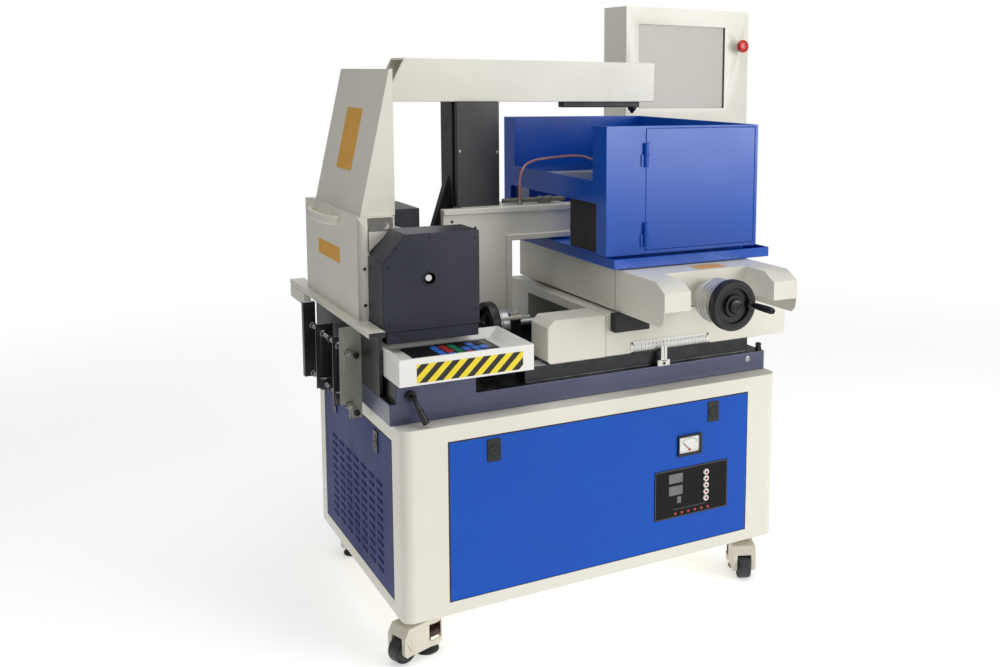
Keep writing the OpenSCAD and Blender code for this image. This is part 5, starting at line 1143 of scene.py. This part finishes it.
class EDM_OT_display(bpy.types.Operator):
    """Display panel, its buttons and the meter in the front panel"""

    bl_idname = "edm.display"
    bl_label = "Display and meter"

    def execute(self, context):
        black, grey, lamp = finishes("black_moulded_plastic", "grey_lens", "red_lamp")
        shape = Shape()
        slab(shape, round_rect(599, 196, 805, 316, 2), FRONT, 0, 1.8, 0.5)
        rim, hole = oval(702, 256, 203, 117, 60, 64), oval(702, 256, 201, 115, 60, 64)
        framed(shape, rim, hole, FRONT, 1.7, 2.2, 0.2, 1)
        for x0, z0, x1, z1 in ((638, 281.5, 676, 304), (638, 252, 676, 274.5), (661, 231, 672, 247)):
            slab(shape, round_rect(x0, z0, x1, z1, 1.2), FRONT, 1.7, 2.3, 0.3, 1)
        plaque(shape, [(650, 216.2, 744, 217)], FRONT, 1.7, 2.0, 1)
        for i in range(6):
            lens = [(0, 0), (3.2, 0), (3.2, 0.3), (2.2, 0.8), (0, 0.8)]
            lathe(shape, (656 + 18.5 * i, -1.7, 206), FORE, lens, 2, 20)
        stand_in(shape, "display_bezel", [finish("black_printed_film"), grey, lamp])
        for i in range(1, 6):
            z, shape = 295 - 16.2 * (i - 1), Shape()
            profile = [(0, -5), (7.6, -5), (7.6, -2.6), (7, -2.6), (7, 5.6), (6.4, 6.4), (3.8, 6.4),
                       (3.6, 6.1)]
            lathe(shape, (741, 0, z), FORE, profile, 0, 36)
            lathe(shape, (741, 0, z), FORE, [(3.6, 6.1), (3.2, 6.3), (1.6, 6.5), (0, 6.5)], 1, 36)
            node = f"display_button_{i}"
            stand_in(shape, node, finishes("white_moulded_plastic", "dark_red_button"))
        shape = Shape()
        framed(shape, oval(694, 369.5, 66, 50, 30, 64), oval(693, 370.5, 57, 39, 30, 64), FRONT, 0, 6, 1.2)
        slab(shape, round_rect(663, 349, 723, 392, 1), FRONT, 0, 1.6, 0.3, 1)
        lathe(shape, (694, 17.9, 365), FORE, [(0, 0), (19, 0), (19, 17.9)], 0, 40)
        # The meter's scale: eleven ticks, every fifth one longer, under an arc
        sweep = math.radians(46)
        for i, t in enumerate(np.linspace(-sweep, sweep, 11)):
            n, d = np.array([math.sin(t), math.cos(t)]), np.array([math.cos(t), -math.sin(t)])
            r0, w = (25.5, 0.3) if i % 5 else (23.5, 0.5)
            corners = [METER + n * r + d * w * side for r, side in ((r0, -1), (28, -1), (28, 1), (r0, 1))]
            slab(shape, corners, FRONT, 1.5, 1.8, 0.05, 2)
        b = np.linspace(-sweep, sweep, 30)
        arc = np.stack([np.sin(b), np.cos(b)], 1)
        slab(shape, np.concatenate([METER + 28.4 * arc, METER + 28.9 * arc[::-1]]), FRONT, 1.5, 1.8, 0.05, 2)
        stand_in(shape, "meter_case", [black, finish("white_moulded_plastic"), black])
        dress("meter_needle", 0, finishes("red_lamp"))
        return {"FINISHED"}


class EDM_OT_control_box(bpy.types.Operator):
    """Control box with its screen, arm and stop button"""

    bl_idname = "edm.control_box"
    bl_label = "Control box"

    def execute(self, context):
        cream = finish("sprayed_cream_enamel")

        def picks(s, t):
            """1 the screen, 2 the frame round it, 3 the frame's dark step down to it, 0 the case behind."""
            screen = within(s, (1, 778, 786), (0, 985, 1305), (2, 1130, math.inf)) & (t[:, 1] < -0.9)
            step = within(s, (1, 775.5, 784), (0, 987, 1303), (2, 1135, math.inf)) & (abs(t[:, 1]) < 0.5)
            return np.select([screen, s[:, 1] < 774.5, step], [1, 2, 3])

        glass, nylon, rubber = finishes("touch_screen_glass", "moulded_nylon", "black_rubber_sheet")
        dress("control_box", 0, [cream, glass, nylon, rubber], picks)
        dress("box_arm", 0, [cream])
        shape = Shape()
        at = (1350, 775, 1335)
        profile = [(0, -12), (7.6, -12), (7.6, 20), (9, 22), (16, 22), (18.6, 23.5), (20, 26), (20, 30),
                   (19.2, 33), (17, 35.4), (13, 37), (8, 37.8), (0, 38)]
        lathe(shape, at, FORE, profile, 0, 56)
        stand_in(shape, "estop_button", finishes("red_moulded_plastic"))
        return {"FINISHED"}


OPERATORS = (EDM_OT_stage, EDM_OT_cabinet, EDM_OT_castors, EDM_OT_bed, EDM_OT_drum, EDM_OT_guard,
             EDM_OT_column, EDM_OT_table, EDM_OT_handwheels, EDM_OT_tank, EDM_OT_console, EDM_OT_display,
             EDM_OT_control_box)


class EDM_PT_panel(bpy.types.Panel):
    """Lists the steps that build the machine"""

    bl_idname = "EDM_PT_panel"
    bl_label = "Wire EDM machine"
    bl_space_type = "VIEW_3D"
    bl_region_type = "UI"
    bl_category = "Wire EDM"

    def draw(self, context):
        for group in (context.scene.edm_colours, context.scene.edm_sizes):
            for key in group.__annotations__:
                self.layout.prop(group, key)
        for operator in OPERATORS:
            self.layout.operator(operator.bl_idname)


CLASSES = (EdmColours, EdmSizes, *OPERATORS, EDM_PT_panel)


def register():
    for cls in CLASSES:
        bpy.utils.register_class(cls)
    bpy.types.Scene.edm_colours = PointerProperty(type=EdmColours)
    bpy.types.Scene.edm_sizes = PointerProperty(type=EdmSizes)


def unregister():
    del bpy.types.Scene.edm_sizes
    del bpy.types.Scene.edm_colours
    for cls in reversed(CLASSES):
        bpy.utils.unregister_class(cls)


def main():
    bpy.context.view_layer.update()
    register()
    for operator in OPERATORS:
        getattr(bpy.ops.edm, operator.bl_idname.split(".")[1])()


if __name__ == "__main__":
    main()
